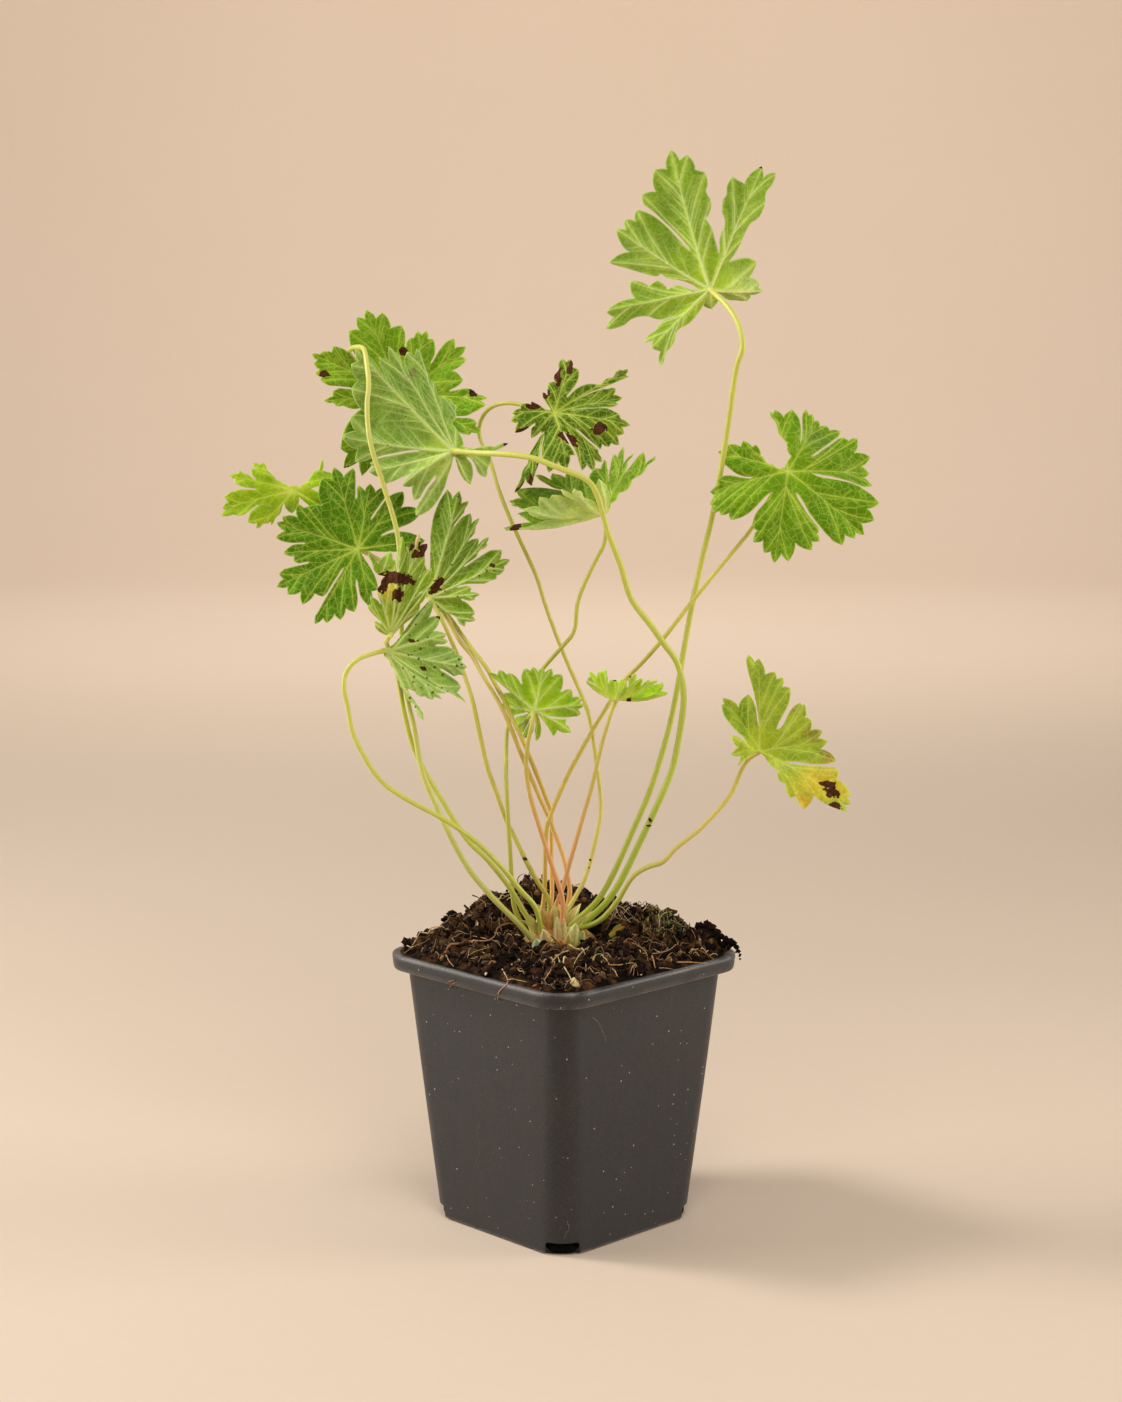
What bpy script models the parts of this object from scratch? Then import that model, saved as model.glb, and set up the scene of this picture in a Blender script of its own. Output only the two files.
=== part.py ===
"""A hardy geranium in a square nursery pot: pot, soil, crown, and fourteen leaves on their stalks.

The frame's origin is the middle of the pot's underside, +Z is up and -Y faces the viewer.
Stalks and leaves are placed by pixels of a 1122 x 1402 picture, each with its depth in millimetres.
"""
import math

import bpy
import numpy as np
from mathutils import Vector
from mathutils.geometry import delaunay_2d_cdt

MM = 0.001
GAP = 0.3 * MM

# The pot: a 9 cm square nursery pot, standing with one corner to the viewer
POT_TURN = math.radians(44.4)
POT_HEIGHT = 92 * MM
RIM_HALF = 45 * MM
RIM_RADIUS = 13 * MM
RIM_LEDGE = 5 * MM
RIM_SKIRT = 5.2 * MM
FOOT_HALF = 32.5 * MM
FOOT_RADIUS = 10 * MM
WALL = 1.0 * MM
CORNER_POINTS = 6
NOTCH_WIDTH = 11 * MM
NOTCH_HEIGHT = 4.5 * MM
NOTCH_DEPTH = 9 * MM
NOTCH_OVERSHOOT = 3 * MM

# The root ball: the wall slants a little, so a level gap to it is a little wider than GAP
WALL_SLANT = 1.06
SOIL_BEVEL = 1 * MM
SOIL_EDGE_HEIGHT = 90.5 * MM
SOIL_RINGS = 6

# The mound: how far it reaches, its rise in mm, and bumps (middle, half widths and height in mm)
MOUND_REACH = 50 * MM
MOUND_RISE = 6
BACK_BUMP = (-8, 24, 24, 18, 13)
LEFT_BUMP = (-24, 8, 15, 15, 3)
SEAT_DIP = (-2, -0.5, 14, 14, 4)
BACK_SHOULDER = 3

# The crown: a flattened knot that the stalks stand on, in a seat in the soil
CROWN_CENTRE = Vector((-2.0, -0.5, 95.0)) * MM
CROWN_SIZE = Vector((14.0, 11.0, 7.0)) * MM
SEAT_GAP = 0.5 * MM

# The blades: turns between lobes, the base where the stalk ends, and the edge's clefts and notches
BLADE = 0.7 * MM
LEAST_TURN = math.radians(22)
MOST_TURN = math.radians(290)
CLOSED_TURN = math.radians(240)
BASE_ANGLE = math.radians(50)
BASE_SLACK = math.radians(4)
BASE_RADIUS = 1.6 * MM
SINUS_DEPTH = 0.36
LEAST_SINUS = 0.1
MOST_SINUS = 0.8
SINUS_ROOM = 0.4
LOBE_GAP = 0.5 * MM
HUB_SHARE = 0.42
NOTCH_SHARE = 0.55
DEEPEST_NOTCH = 0.36
SIDE_LOW = 0.32
SIDE_SPREAD = 0.06
SIDE_HIGH = 0.3
SIDE_SWELL = 0.22
TOOTH_SWELL = 0.16
RIB_SHARES = (0.25, 0.5, 0.75)
NOTCH_PLACES = (0.3, 0.7)
OUTER_LEAST = 1.3
CLEFT_FOOT = 1.02
TINY = 1e-6

# The search for a pixel's flat place: first guesses, bounds, nudges, steps, stride and damping
TOOTH_GUESS = (0.8, 0.3)
SINUS_GUESS = 0.4
PLACE_RADII = (0.06, 1.12)
PLACE_TURN = 0.75
NUDGES = (1e-5, 1e-3)
SEARCH_STEPS = 25
SEARCH_STRIDE = 0.8
SEARCH_DAMPING = 40.0

# The stalks
STALK_SLACK = 0.25 * MM
STALK_GAP = 0.4 * MM
SMOOTHINGS = 8

CURVE_STEPS = 10
FOOT_THICKNESS = 1.1
TAPER = 0.2

# Materials: base colour and roughness
POT_LOOK = ((0.045, 0.043, 0.04), 0.55)
PEAT_LOOK = ((0.03, 0.018, 0.011), 0.95)
SCALE_LOOK = ((0.42, 0.40, 0.16), 0.6)
LEAF_LOOK = ((0.13, 0.27, 0.05), 0.5)
STALK_LOOK = ((0.30, 0.38, 0.08), 0.5)
BALL_SEGMENTS = 16
BALL_RINGS = 10

# The picture's camera
EYE = np.array([0.0, -0.850, 0.2972])
PITCH = 0.1400
YAW = -0.0011
FOCAL = 2576.0
CENTRE_X = 561.0
CENTRE_Y = 701.0
FORWARD = np.array([math.sin(YAW) * math.cos(PITCH), math.cos(YAW) * math.cos(PITCH), -math.sin(PITCH)])
RIGHT = np.array([math.cos(YAW), -math.sin(YAW), 0.0])
UP = np.cross(RIGHT, FORWARD)


def seen(x, y, depth):
    """The point that the picture shows at pixel x, y, at that depth in millimetres behind the axis."""
    ray = FORWARD + RIGHT * (x - CENTRE_X) / FOCAL + UP * (CENTRE_Y - y) / FOCAL
    return EYE + ray * (depth * MM - EYE[1]) / ray[1]


def pixel(points):
    """Where the picture shows these points."""
    v = points - EYE
    deep = v @ FORWARD
    return np.stack([CENTRE_X + FOCAL * (v @ RIGHT) / deep, CENTRE_Y - FOCAL * (v @ UP) / deep], -1)


def lobe(x, y, depth, before=(), after=(), bow=0.0, sinus=None):
    """One lobe: its tip's pixel and depth, the teeth on each side of the tip, and its arch in mm.

    Lobes run counter-clockwise seen from the upper side, and so do the teeth. A sinus is the
    pixel of the cleft that follows the lobe.
    """
    return dict(tip=(x, y, depth), before=before, after=after, bow=bow, sinus=sinus)


# Blades: the stalk's end (pixel and depth), then the lobes
LEAVES = {
    "leaf_01": dict(at=(710, 290, -5), lobes=[
        lobe(652, 348, -15, before=((681, 326), (669, 346), (660, 363)), after=((644, 339), (658, 323)),
             bow=1, sinus=(675, 314)),
        lobe(606, 311, -6, before=((648, 314), (606, 325)), after=((630, 279), (657, 278), (680, 284)),
             bow=1, sinus=(700, 289)),
        lobe(616, 229, 4, before=((672, 278), (642, 275), (609, 260)),
             after=((625, 218), (637, 208)), bow=1.5, sinus=(690, 250)),
        lobe(671, 149, 12, before=((642, 193), (655, 168)), after=((688, 153), (705, 170), (711, 197),
             (712, 226)), bow=2, sinus=(719, 252)),
        lobe(762, 166, 15, before=((725, 226), (722, 199), (733, 175)), after=((780, 172), (769, 201),
             (746, 240)), bow=1, sinus=(734, 262)),
        lobe(763, 291, 21, before=((761, 263), (761, 284)), after=((749, 305),), bow=2),
        lobe(712, 309, 17, bow=1)]),
    "leaf_02": dict(at=(788, 471, -12), lobes=[
        lobe(718, 452, -9, before=((777, 468), (765, 461), (756, 447), (743, 443), (728, 446)),
             after=((720, 459),), bow=1, sinus=(753, 480)),
        lobe(710, 492, -14, before=((718, 480),), after=((710, 505), (713, 513), (721, 516), (731, 521)),
             bow=1, sinus=(772, 493)),
        lobe(774, 563, -21, before=((752, 527), (753, 543), (764, 553)), after=((788, 562), (811, 551),
             (819, 542), (818, 532)), bow=1, sinus=(796, 494)),
        lobe(864, 535, -17, before=((841, 546), (854, 539)), after=((872, 522), (877, 505)), bow=1,
             sinus=(812, 474)),
        lobe(869, 474, -8, before=((871, 487),), after=((868, 460), (855, 442), (842, 441)), bow=1,
             sinus=(811, 458)),
        lobe(818, 422, -2, before=((839, 434), (826, 428)), after=((811, 417), (804, 413)), bow=1,
             sinus=(800, 443)),
        lobe(775, 410, -3, before=((791, 412),), after=((769, 413), (777, 430), (786, 443), (790, 456)),
             bow=1)]),
    "leaf_03": dict(at=(402, 396, 37), lobes=[
        lobe(481, 434, 19, before=((470, 437),), after=((477, 424),), bow=1, sinus=(452, 420)),
        lobe(487, 398, 30, before=((486, 409),), after=((475, 393),), bow=1, sinus=(450, 392)),
        lobe(466, 347, 41, before=((464, 383), (467, 361)), after=((454, 340),), bow=1, sinus=(431, 364)),
        lobe(427, 331, 42, before=((433, 340),), after=((418, 332), (410, 339)), bow=1, sinus=(405, 348)),
        lobe(366, 310, 40, before=((401, 327), (382, 314)), after=((357, 318), (349, 332)), bow=1,
             sinus=(364, 368)),
        lobe(312, 354, 37, before=((334, 347), (322, 352)), after=((314, 364), (316, 374), (321, 381)),
             bow=1, sinus=(352, 389)),
        lobe(324, 401, 34, before=((333, 392),), after=((336, 406), (346, 407)), bow=1, sinus=(362, 408)),
        lobe(344, 468, 32, before=((341, 449),), after=((362, 476),), bow=1)]),
    "leaf_04": dict(at=(454, 452, 5), lobes=[
        lobe(416, 516, -1, before=(), after=(), bow=1, sinus=(436, 476)),
        lobe(402, 486, 1, before=((414, 500),), after=((410, 470),), bow=-2, sinus=(434, 465)),
        lobe(369, 472, 5, before=((384, 486),), after=((370, 462),), bow=1, sinus=(420, 448)),
        lobe(341, 437, 9, before=((355, 459),), after=((350, 416),), bow=1.5, sinus=(372, 418)),
        lobe(355, 348, 13, before=((351, 388), (351, 364)), after=(), bow=2, sinus=(375, 364)),
        lobe(389, 346, 17, before=((381, 355),), after=((398, 352),), bow=2, sinus=(407, 368)),
        lobe(417, 348, 22, before=((409, 350),), after=((428, 369), (437, 379)), bow=2, sinus=(444, 413)),
        lobe(456, 404, 24, before=((447, 390), (452, 396)), after=((456, 414), (453, 424)), bow=1,
             sinus=(463, 447)),
        lobe(508, 443, 0, before=((475, 449), (490, 446)), after=((486, 465), (484, 476)), bow=0),
        lobe(470, 484, -1, bow=0)]),
    "leaf_05": dict(at=(294, 490, 16), lobes=[
        lobe(252, 463, 17, before=((288, 486), (276, 480), (268, 472), (263, 464)), after=((250, 471),),
             bow=1, sinus=(256, 481)),
        lobe(229, 476, 11, before=((246, 475), (239, 472)), after=((234, 483),), bow=1, sinus=(256, 490)),
        lobe(222, 508, 6, before=((224, 498),), after=((221, 517), (238, 517)), bow=1, sinus=(258, 506)),
        lobe(256, 528, 7, before=((247, 523),), after=((265, 523), (270, 524), (276, 516)), bow=1,
             sinus=(280, 506)),
        lobe(292, 513, 17, bow=1),
        lobe(332, 514, 24, bow=1),
        lobe(323, 460, 28, before=((334, 480),), after=((317, 471), (308, 481), (300, 487)), bow=1)]),
    "leaf_06": dict(at=(358, 549, 8), lobes=[
        lobe(424, 541, 22, bow=1),
        lobe(402, 492, 22, before=((418, 512),), bow=1, sinus=(370, 520)),
        lobe(370, 484, 16, before=((384, 488),), after=((357, 487),), bow=1, sinus=(355, 500)),
        lobe(334, 467, 13, before=((351, 470),), after=((322, 479),), bow=1, sinus=(322, 506)),
        lobe(277, 523, 9, before=((308, 507), (298, 505), (283, 517)), after=((277, 537),), bow=1,
             sinus=(306, 543)),
        lobe(283, 553, 8, before=(), after=((295, 563),), bow=1, sinus=(310, 563)),
        lobe(277, 587, 4, before=((280, 575),), after=((288, 595), (303, 605), (323, 597)), bow=1,
             sinus=(344, 568)),
        lobe(315, 624, 1, before=(), after=((327, 623), (341, 620), (355, 612)), bow=1, sinus=(357, 580)),
        lobe(370, 607, 2, before=(), after=((378, 590),), bow=1)]),
    "leaf_07": dict(at=(430, 598, 2), lobes=[
        lobe(406, 546, 8, bow=0),
        lobe(459, 491, 9, before=((446, 489),), after=((468, 501), (464, 512)), bow=1, sinus=(453, 522)),
        lobe(479, 518, 7, before=((470, 513),), after=((475, 529),), bow=1, sinus=(462, 538)),
        lobe(489, 537, 4, before=((476, 537),), after=((487, 545), (478, 552)), bow=1, sinus=(462, 565)),
        lobe(509, 559, -1, before=((500, 549),), after=((503, 568), (494, 578)), bow=1, sinus=(452, 579)),
        lobe(479, 594, -4, before=((470, 586),), after=((474, 599),), bow=1, sinus=(461, 599)),
        lobe(464, 626, -6, before=((472, 612), (473, 619)), after=((450, 614),), bow=1)]),
    "leaf_08": dict(at=(391, 635, -20), lobes=[
        lobe(376, 625, -23, after=((372, 617),), bow=1, sinus=(376, 615)),
        lobe(369, 605, -25, after=((372, 596),), bow=1, sinus=(377, 592)),
        lobe(367, 552, -17, before=((378, 588), (384, 576), (373, 566)), after=((388, 550), (395, 560)),
             bow=-2, sinus=(395, 572)),
        lobe(402, 536, -18, before=((396, 550),), after=((407, 550),), bow=-2, sinus=(407, 566)),
        lobe(419, 533, -18, before=((411, 543),), after=((427, 543), (424, 556)), bow=-2, sinus=(421, 572)),
        lobe(431, 568, -22, before=(), after=((432, 580),), bow=-1, sinus=(424, 584)),
        lobe(428, 590, -26, after=((417, 610),), bow=1)]),
    "leaf_09": dict(at=(385, 651, -14), lobes=[
        lobe(446, 634, -9, before=((428, 594), (433, 600), (440, 616)), after=((448, 641),), bow=1,
             sinus=(440, 644)),
        lobe(467, 667, -12, before=((455, 650), (463, 657)), after=((464, 674), (457, 675)), bow=1,
             sinus=(440, 668)),
        lobe(466, 702, -17, before=((461, 686),), bow=1, sinus=(440, 678)),
        lobe(442, 697, -22, before=((447, 692),), after=((432, 698), (420, 695), (411, 689)), bow=1.5,
             sinus=(403, 684)),
        lobe(423, 719, -26, after=((410, 702), (403, 689), (396, 674), (389, 661)), bow=1)]),
    "leaf_10": dict(at=(554, 413, -2), lobes=[
        lobe(512, 413, -6, before=((541, 403), (532, 402), (520, 406)), after=((511, 422), (516, 434)),
             bow=1, sinus=(535, 424)),
        lobe(531, 438, -9, after=((544, 434),), bow=1, sinus=(545, 432)),
        lobe(515, 493, -12, before=((534, 438), (529, 456), (522, 477)), after=((534, 487), (541, 470),
             (542, 450)), bow=2, sinus=(545, 436)),
        lobe(566, 470, -15, before=((545, 460), (550, 473)), after=((576, 456),), bow=3, sinus=(563, 432)),
        lobe(602, 462, -9, before=((573, 456), (580, 471), (592, 472)), after=((598, 450),), bow=2,
             sinus=(572, 432)),
        lobe(630, 425, -7, before=((600, 450), (609, 447), (619, 445), (624, 434)), after=((619, 416),),
             bow=1, sinus=(570, 411)),
        lobe(622, 399, 3, before=((618, 407),), after=((615, 391), (603, 390)), bow=1, sinus=(572, 400)),
        lobe(628, 370, 11, before=((606, 387), (618, 385), (628, 378)), after=((620, 370), (610, 378),
             (597, 385)), bow=1, sinus=(566, 398)),
        lobe(571, 360, 8, before=((578, 371),), after=((563, 360), (556, 376), (549, 386)), bow=1,
             sinus=(547, 395)),
        lobe(543, 393, 1, bow=1)]),
    "leaf_11": dict(at=(603, 513, -2), lobes=[
        lobe(656, 456, -3, before=((612, 504), (621, 495), (634, 482), (647, 468)), after=((648, 454),),
             bow=-2, sinus=(622, 484)),
        lobe(624, 447, 17, before=((631, 464), (637, 456)), after=((617, 456), (611, 473)), bow=-2,
             sinus=(606, 484)),
        lobe(605, 460, 24, before=((609, 470),), after=((596, 470),), bow=-3, sinus=(590, 486)),
        lobe(552, 474, 23, before=((583, 483), (570, 473)), after=((535, 480),), bow=-2, sinus=(570, 494)),
        lobe(509, 501, 8, before=((515, 493),), after=((511, 507), (519, 511)), bow=-2, sinus=(556, 508)),
        lobe(503, 528, -14, before=((517, 517),), after=((530, 532),), bow=-2, sinus=(580, 515)),
        lobe(523, 510, -18, before=((530, 516),), after=((540, 501), (553, 499)), bow=-2, sinus=(567, 500)),
        lobe(574, 489, -22, before=((562, 493),), after=((580, 491), (586, 499)), bow=-3),
        lobe(599, 479, -22, bow=-3)]),
    "leaf_12": dict(at=(534.5, 711, -14), lobes=[
        lobe(536, 741, -8, bow=1),
        lobe(525, 738, -4, after=((519, 741),), bow=1),
        lobe(513, 730, 1, before=((520, 733),), after=((510, 722),), bow=1),
        lobe(500, 707, 7, before=((505, 712),), after=((500, 698),), bow=1, sinus=(517, 701)),
        lobe(487, 672, -12, before=((496, 686),), after=((499, 671), (510, 674)), bow=1, sinus=(522, 684)),
        lobe(542, 667, -12, before=((525, 669), (533, 667)), after=((551, 669), (561, 676)), bow=1,
             sinus=(560, 692)),
        lobe(584, 705, -15, before=((570, 690), (582, 698)), after=((580, 713),), bow=1, sinus=(547, 716)),
        lobe(571, 732, -18, before=((566, 718),), after=((551, 736),), bow=1)]),
    "leaf_13": dict(at=(616.5, 699, -17), lobes=[
        lobe(668, 693, -8, before=((660, 697),), after=((664, 688),), bow=-1),
        lobe(640, 686, 2, bow=-1),
        lobe(604, 684, 3, bow=-1),
        lobe(586, 681, -5, bow=-1),
        lobe(588, 671, -17, before=((593, 690), (585, 686)), after=((596, 673), (605, 672), (610, 681)),
             bow=-1, sinus=(611, 687)),
        lobe(622, 678, -31, before=((614, 682),), after=((628, 683),), bow=-2, sinus=(628, 688)),
        lobe(637, 674, -28, before=((631, 678),), after=((643, 679),), bow=-2, sinus=(642, 688)),
        lobe(658, 680, -19, before=((651, 681),), after=((660, 684),), bow=-1)]),
    "leaf_14": dict(at=(760, 751, -20), lobes=[
        lobe(850, 805, -36, before=((764, 769), (777, 783), (789, 801), (804, 812), (846, 813)),
             after=((850, 796), (838, 773)), bow=2, sinus=(786, 762)),
        lobe(828, 742, -22, before=((842, 765),), after=((822, 732), (811, 722), (804, 706), (798, 703)),
             bow=1, sinus=(773, 727)),
        lobe(759, 659, -8, before=((790, 690), (783, 680), (775, 674)), after=((748, 656),), bow=1,
             sinus=(764, 727)),
        lobe(723, 698, -14, before=((748, 695),), after=((722, 706),), bow=1, sinus=(745, 744)),
        lobe(731, 755, -25, before=((731, 739),), after=((740, 768), (751, 769)), bow=2)]),
}

# Stalks: where each stands on the crown (mm across and deep), its end radius, and its route
STALKS = {
    "stem_01": dict(foot=(5.2, 2.8), thick=1.9, route=(
        (603, 894, 1), (633, 830, -1), (651, 788, -2), (668, 732, -3), (677, 691, -3), (681, 666, -3),
        (687, 633, -3), (693, 600, -3), (703, 555, -5), (713, 513, -8), (726, 440, -14), (736, 369, -20),
        (743, 348, -22), (739, 326, -20), (728, 307, -14), (716, 295, -8))),
    "stem_02": dict(foot=(-7.0, 4.5), thick=1.5, route=(
        (544, 900, 4), (545, 862, 2), (546, 832, 0), (551, 814, -1), (567, 777, 0), (587, 740, 2),
        (610, 702, 7), (626, 679, 8), (643, 662, 2), (663, 639, -7), (691, 603, -9), (721, 566, -9),
        (751, 530, -9), (768, 500, -8), (780, 482, -8))),
    "stem_03": dict(foot=(-9.5, -5.5), thick=1.8, route=(
        (515, 920, -8), (491, 896, -10), (463, 861, -12), (433, 799, -14), (421, 767, -14),
        (414, 727, -12.4), (409, 708, -10.6), (404, 680, -7), (401, 620, -5), (400, 580, -5),
        (398, 535, -5), (383, 484, -4), (370, 442, -3), (367, 406, -1), (369, 385, 1), (367, 366, 5),
        (364, 349, 12), (356, 347, 24), (351, 349, 33), (349, 353, 41), (357, 362, 47), (378, 380, 48))),
    "stem_04": dict(foot=(7.3, -1.0), thick=2.1, route=(
        (612, 896, -3), (640, 842, -5), (664, 790, -8), (675, 759, -9), (683, 710, -12), (683, 686, -13),
        (677, 662, -14), (664, 644, -15), (650, 624, -15), (631, 599, -16), (621, 566, -18),
        (608, 533, -20), (602, 510, -21), (596, 492, -22), (586, 479, -22), (559, 468, -20),
        (533, 458, -17), (503, 454, -12), (480, 453, -6))),
    "stem_05": dict(foot=(-4.2, 6.0), thick=1.5, route=(
        (552, 900, 8), (551, 852, 9), (551, 814, 9), (547, 801, 8), (540, 783, 4), (531, 760, -2),
        (523, 741, -7), (511, 716, -7), (504, 700, -6), (498, 689, -4), (492, 678, -3), (486, 667, -3),
        (466, 641, 0), (451, 619, 5), (438, 604, 15), (415, 585, 28), (380, 562, 36), (340, 530, 36),
        (310, 503, 27))),
    "stem_06": dict(foot=(1.5, 4.5), thick=1.5, route=(
        (570, 895, 4), (567, 872, 4), (561, 850, 5), (553, 829, 5), (547, 814, 5), (538, 794, 3),
        (531, 778, 1), (523, 759, -2), (507, 719, -7), (493, 692, -5), (483, 676, -4), (472, 656, -1),
        (459, 640, 0), (444, 614, 4), (428, 596, 10), (405, 576, 16), (380, 560, 16))),
    "stem_07": dict(foot=(-3.2, 1.8), thick=1.6, route=(
        (549, 900, 1), (537, 881, 0), (525, 859, -1), (512, 832, 0), (504, 815, 0), (496, 791, -1),
        (488, 770, -2), (479, 731, -4), (473, 703, -4), (464, 674, -1), (455, 650, 0), (444, 624, -3))),
    "stem_08": dict(foot=(-7.8, -2.2), thick=1.7, route=(
        (524, 912, -4), (510, 888, -5), (487, 859, -8), (466, 839, -9), (440, 797, -9), (424, 770, -10),
        (412, 744, -9), (404, 712, -9), (400, 690, -8), (396, 668, -7), (391, 655, -7), (388, 647, -8),
        (386, 641, -13), (387, 641, -20), (389, 637, -27))),
    "stem_09": dict(foot=(-5.5, -6.5), thick=1.7, route=(
        (536, 908, -10), (521, 891, -12), (505, 871, -14), (480, 845, -17), (447, 821, -20),
        (406, 799, -23), (378, 778, -24), (354, 737, -24), (348, 708, -23), (344, 690, -23),
        (345, 675, -22), (353, 663, -21), (365, 656, -19))),
    "stem_10": dict(foot=(0.3, -1.0), thick=1.5, route=(
        (577, 894, 0), (587, 872, 1), (598, 830, 3), (601, 805, 4), (599, 781, 4), (595, 753, 4),
        (590, 720, 7), (582, 696, 8), (562, 650, 8), (545, 604, 7), (536, 575, 7), (516, 532, 9),
        (499, 491, 13), (491, 463, 18), (483, 446, 21), (479, 434, 22), (481, 420, 20), (490, 408, 15),
        (505, 403, 10), (522, 405, 7), (538, 409, 4))),
    "stem_11": dict(foot=(-11.0, 0.5), thick=1.5, route=(
        (515, 910, 0), (512, 888, -1), (510, 852, -3), (508, 822, -4), (506, 770, -2), (508, 725, 8),
        (523, 695, 10), (545, 666, 6), (562, 647, 2), (575, 630, 0), (578, 600, -1), (595, 562, -2),
        (604, 545, -3), (606, 528, -3))),
    "stem_12": dict(foot=(1.0, -6.0), thick=1.6, route=(
        (563, 900, -7), (553, 869, -8), (542, 835, -9), (534, 810, -10), (529, 790, -11), (526, 766, -13),
        (528, 742, -16), (532, 724, -17))),
    "stem_13": dict(foot=(-4.0, -2.5), thick=1.5, route=(
        (561, 893, -3), (569, 865, -4), (583, 817, -7), (592, 786, -10), (598, 760, -13), (603, 740, -15),
        (611, 713, -18))),
    "stem_14": dict(foot=(4.8, -4.5), thick=1.7, route=(
        (588, 926, -7), (603, 918, -9), (619, 899, -12), (633, 876, -15), (650, 866, -16), (663, 862, -17),
        (677, 847, -18), (700, 829, -18), (730, 796, -18), (741, 771, -17), (750, 758, -16))),
}


def clear_scene():
    for item in list(bpy.data.objects):
        bpy.data.objects.remove(item, do_unlink=True)


def new_collection(name):
    group = bpy.data.collections.new(name)
    bpy.context.scene.collection.children.link(group)
    return group


def material(name, colour, roughness):
    mat = bpy.data.materials.new(name)
    mat.use_nodes = True
    shader = mat.node_tree.nodes["Principled BSDF"]
    shader.inputs["Base Color"].default_value = (*colour, 1.0)
    shader.inputs["Roughness"].default_value = roughness
    return mat


def mesh_object(name, vertices, faces, mat, group):
    mesh = bpy.data.meshes.new(name)
    mesh.from_pydata([tuple(v) for v in vertices], [], faces)
    mesh.materials.append(mat)
    mesh.shade_smooth()
    obj = bpy.data.objects.new(name, mesh)
    group.objects.link(obj)
    return obj


def rounded_square(half, radius, z):
    """A ring of points around a square with round corners, turned as the pot stands."""
    points = []
    for quarter in range(4):
        start = POT_TURN + quarter * math.pi / 2
        out = (half - radius) * math.sqrt(2)
        centre_x = out * math.cos(start + math.pi / 4)
        centre_y = out * math.sin(start + math.pi / 4)
        for k in range(CORNER_POINTS + 1):
            a = start + math.pi / 2 * k / CORNER_POINTS
            points.append((centre_x + radius * math.cos(a), centre_y + radius * math.sin(a), z))
    return points


def loft(rings, closed_top, closed_bottom):
    """Faces that join equal rings, with an end face where one is asked for."""
    n = len(rings[0])
    faces = []
    for r in range(len(rings) - 1):
        for k in range(n):
            faces.append((r * n + k, r * n + (k + 1) % n, (r + 1) * n + (k + 1) % n, (r + 1) * n + k))
    if closed_bottom:
        faces.append(tuple(range(n))[::-1])
    if closed_top:
        faces.append(tuple(range((len(rings) - 1) * n, len(rings) * n)))
    return [v for ring in rings for v in ring], faces


def wall_half(z):
    """The outer wall's half width at height z."""
    top = RIM_HALF - RIM_LEDGE
    return FOOT_HALF + (top - FOOT_HALF) * z / POT_HEIGHT


def wall_radius(z):
    return FOOT_RADIUS + (RIM_RADIUS - RIM_LEDGE - FOOT_RADIUS) * z / POT_HEIGHT


def link_only(obj, group):
    for old in list(obj.users_collection):
        old.objects.unlink(obj)
    group.objects.link(obj)


def make_cutter(name, cutters):
    """Turns the primitive just added into a hidden cutter."""
    cutter = bpy.context.active_object
    cutter.name = name
    link_only(cutter, cutters)
    cutter.hide_render = True
    cutter.display_type = "WIRE"
    return cutter


def cut(obj, cutter):
    mod = obj.modifiers.new("cut_" + cutter.name, "BOOLEAN")
    mod.operation = "DIFFERENCE"
    mod.solver = "EXACT"
    mod.object = cutter


def notch_cutters(cutters):
    """The drain notches: one box at each bottom corner."""
    corner_reach = (FOOT_HALF - FOOT_RADIUS) * math.sqrt(2) + FOOT_RADIUS
    boxes = []
    for corner in range(4):
        turn = POT_TURN + math.pi / 4 + corner * math.pi / 2
        out = corner_reach + NOTCH_OVERSHOOT - NOTCH_DEPTH / 2
        height = NOTCH_HEIGHT - NOTCH_OVERSHOOT
        centre = (out * math.cos(turn), out * math.sin(turn), height / 2)
        bpy.ops.mesh.primitive_cube_add(size=1, location=centre, rotation=(0, 0, turn))
        box = make_cutter("notch_cutter_%d" % (corner + 1), cutters)
        box.scale = (NOTCH_DEPTH + NOTCH_OVERSHOOT, NOTCH_WIDTH, NOTCH_HEIGHT + NOTCH_OVERSHOOT)
        boxes.append(box)
    return boxes


def make_pot(group, boxes):
    """A thin shell: floor, tapered wall, ledge and the skirt that hangs from it.

    The shell thickens into the pot below the ledge, and above and outside the ledge and skirt.
    """
    ledge = POT_HEIGHT - WALL
    rings = [rounded_square(wall_half(z), wall_radius(z), z) for z in (0.0, POT_HEIGHT / 2, ledge)]
    for z in (ledge, POT_HEIGHT - RIM_SKIRT):
        rings.append(rounded_square(RIM_HALF - WALL, RIM_RADIUS - WALL, z))
    vertices, faces = loft(rings, False, True)
    pot = mesh_object("pot", vertices, faces, material("pot_plastic", *POT_LOOK), group)
    shell = pot.modifiers.new("wall", "SOLIDIFY")
    shell.thickness = WALL
    shell.offset = -1
    shell.use_even_offset = True
    for box in boxes:
        cut(pot, box)
    return pot


def bell(x, y, bump):
    """How high, in mm, a soft round bump stands at x, y."""
    middle_x, middle_y, wide, deep, height = bump
    return height * math.exp(-(x / MM - middle_x) ** 2 / wide ** 2 - (y / MM - middle_y) ** 2 / deep ** 2)


def soil_height(x, y):
    """The mound's height: it falls to the rim all round and is highest behind the crown."""
    edge = max(0.0, 1 - (math.hypot(x, y) / MOUND_REACH) ** 2)
    rise = MOUND_RISE * edge + bell(x, y, BACK_BUMP) * min(1.0, BACK_SHOULDER * edge)
    rise += bell(x, y, LEFT_BUMP) * edge - bell(x, y, SEAT_DIP)
    return SOIL_EDGE_HEIGHT + rise * MM


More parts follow.
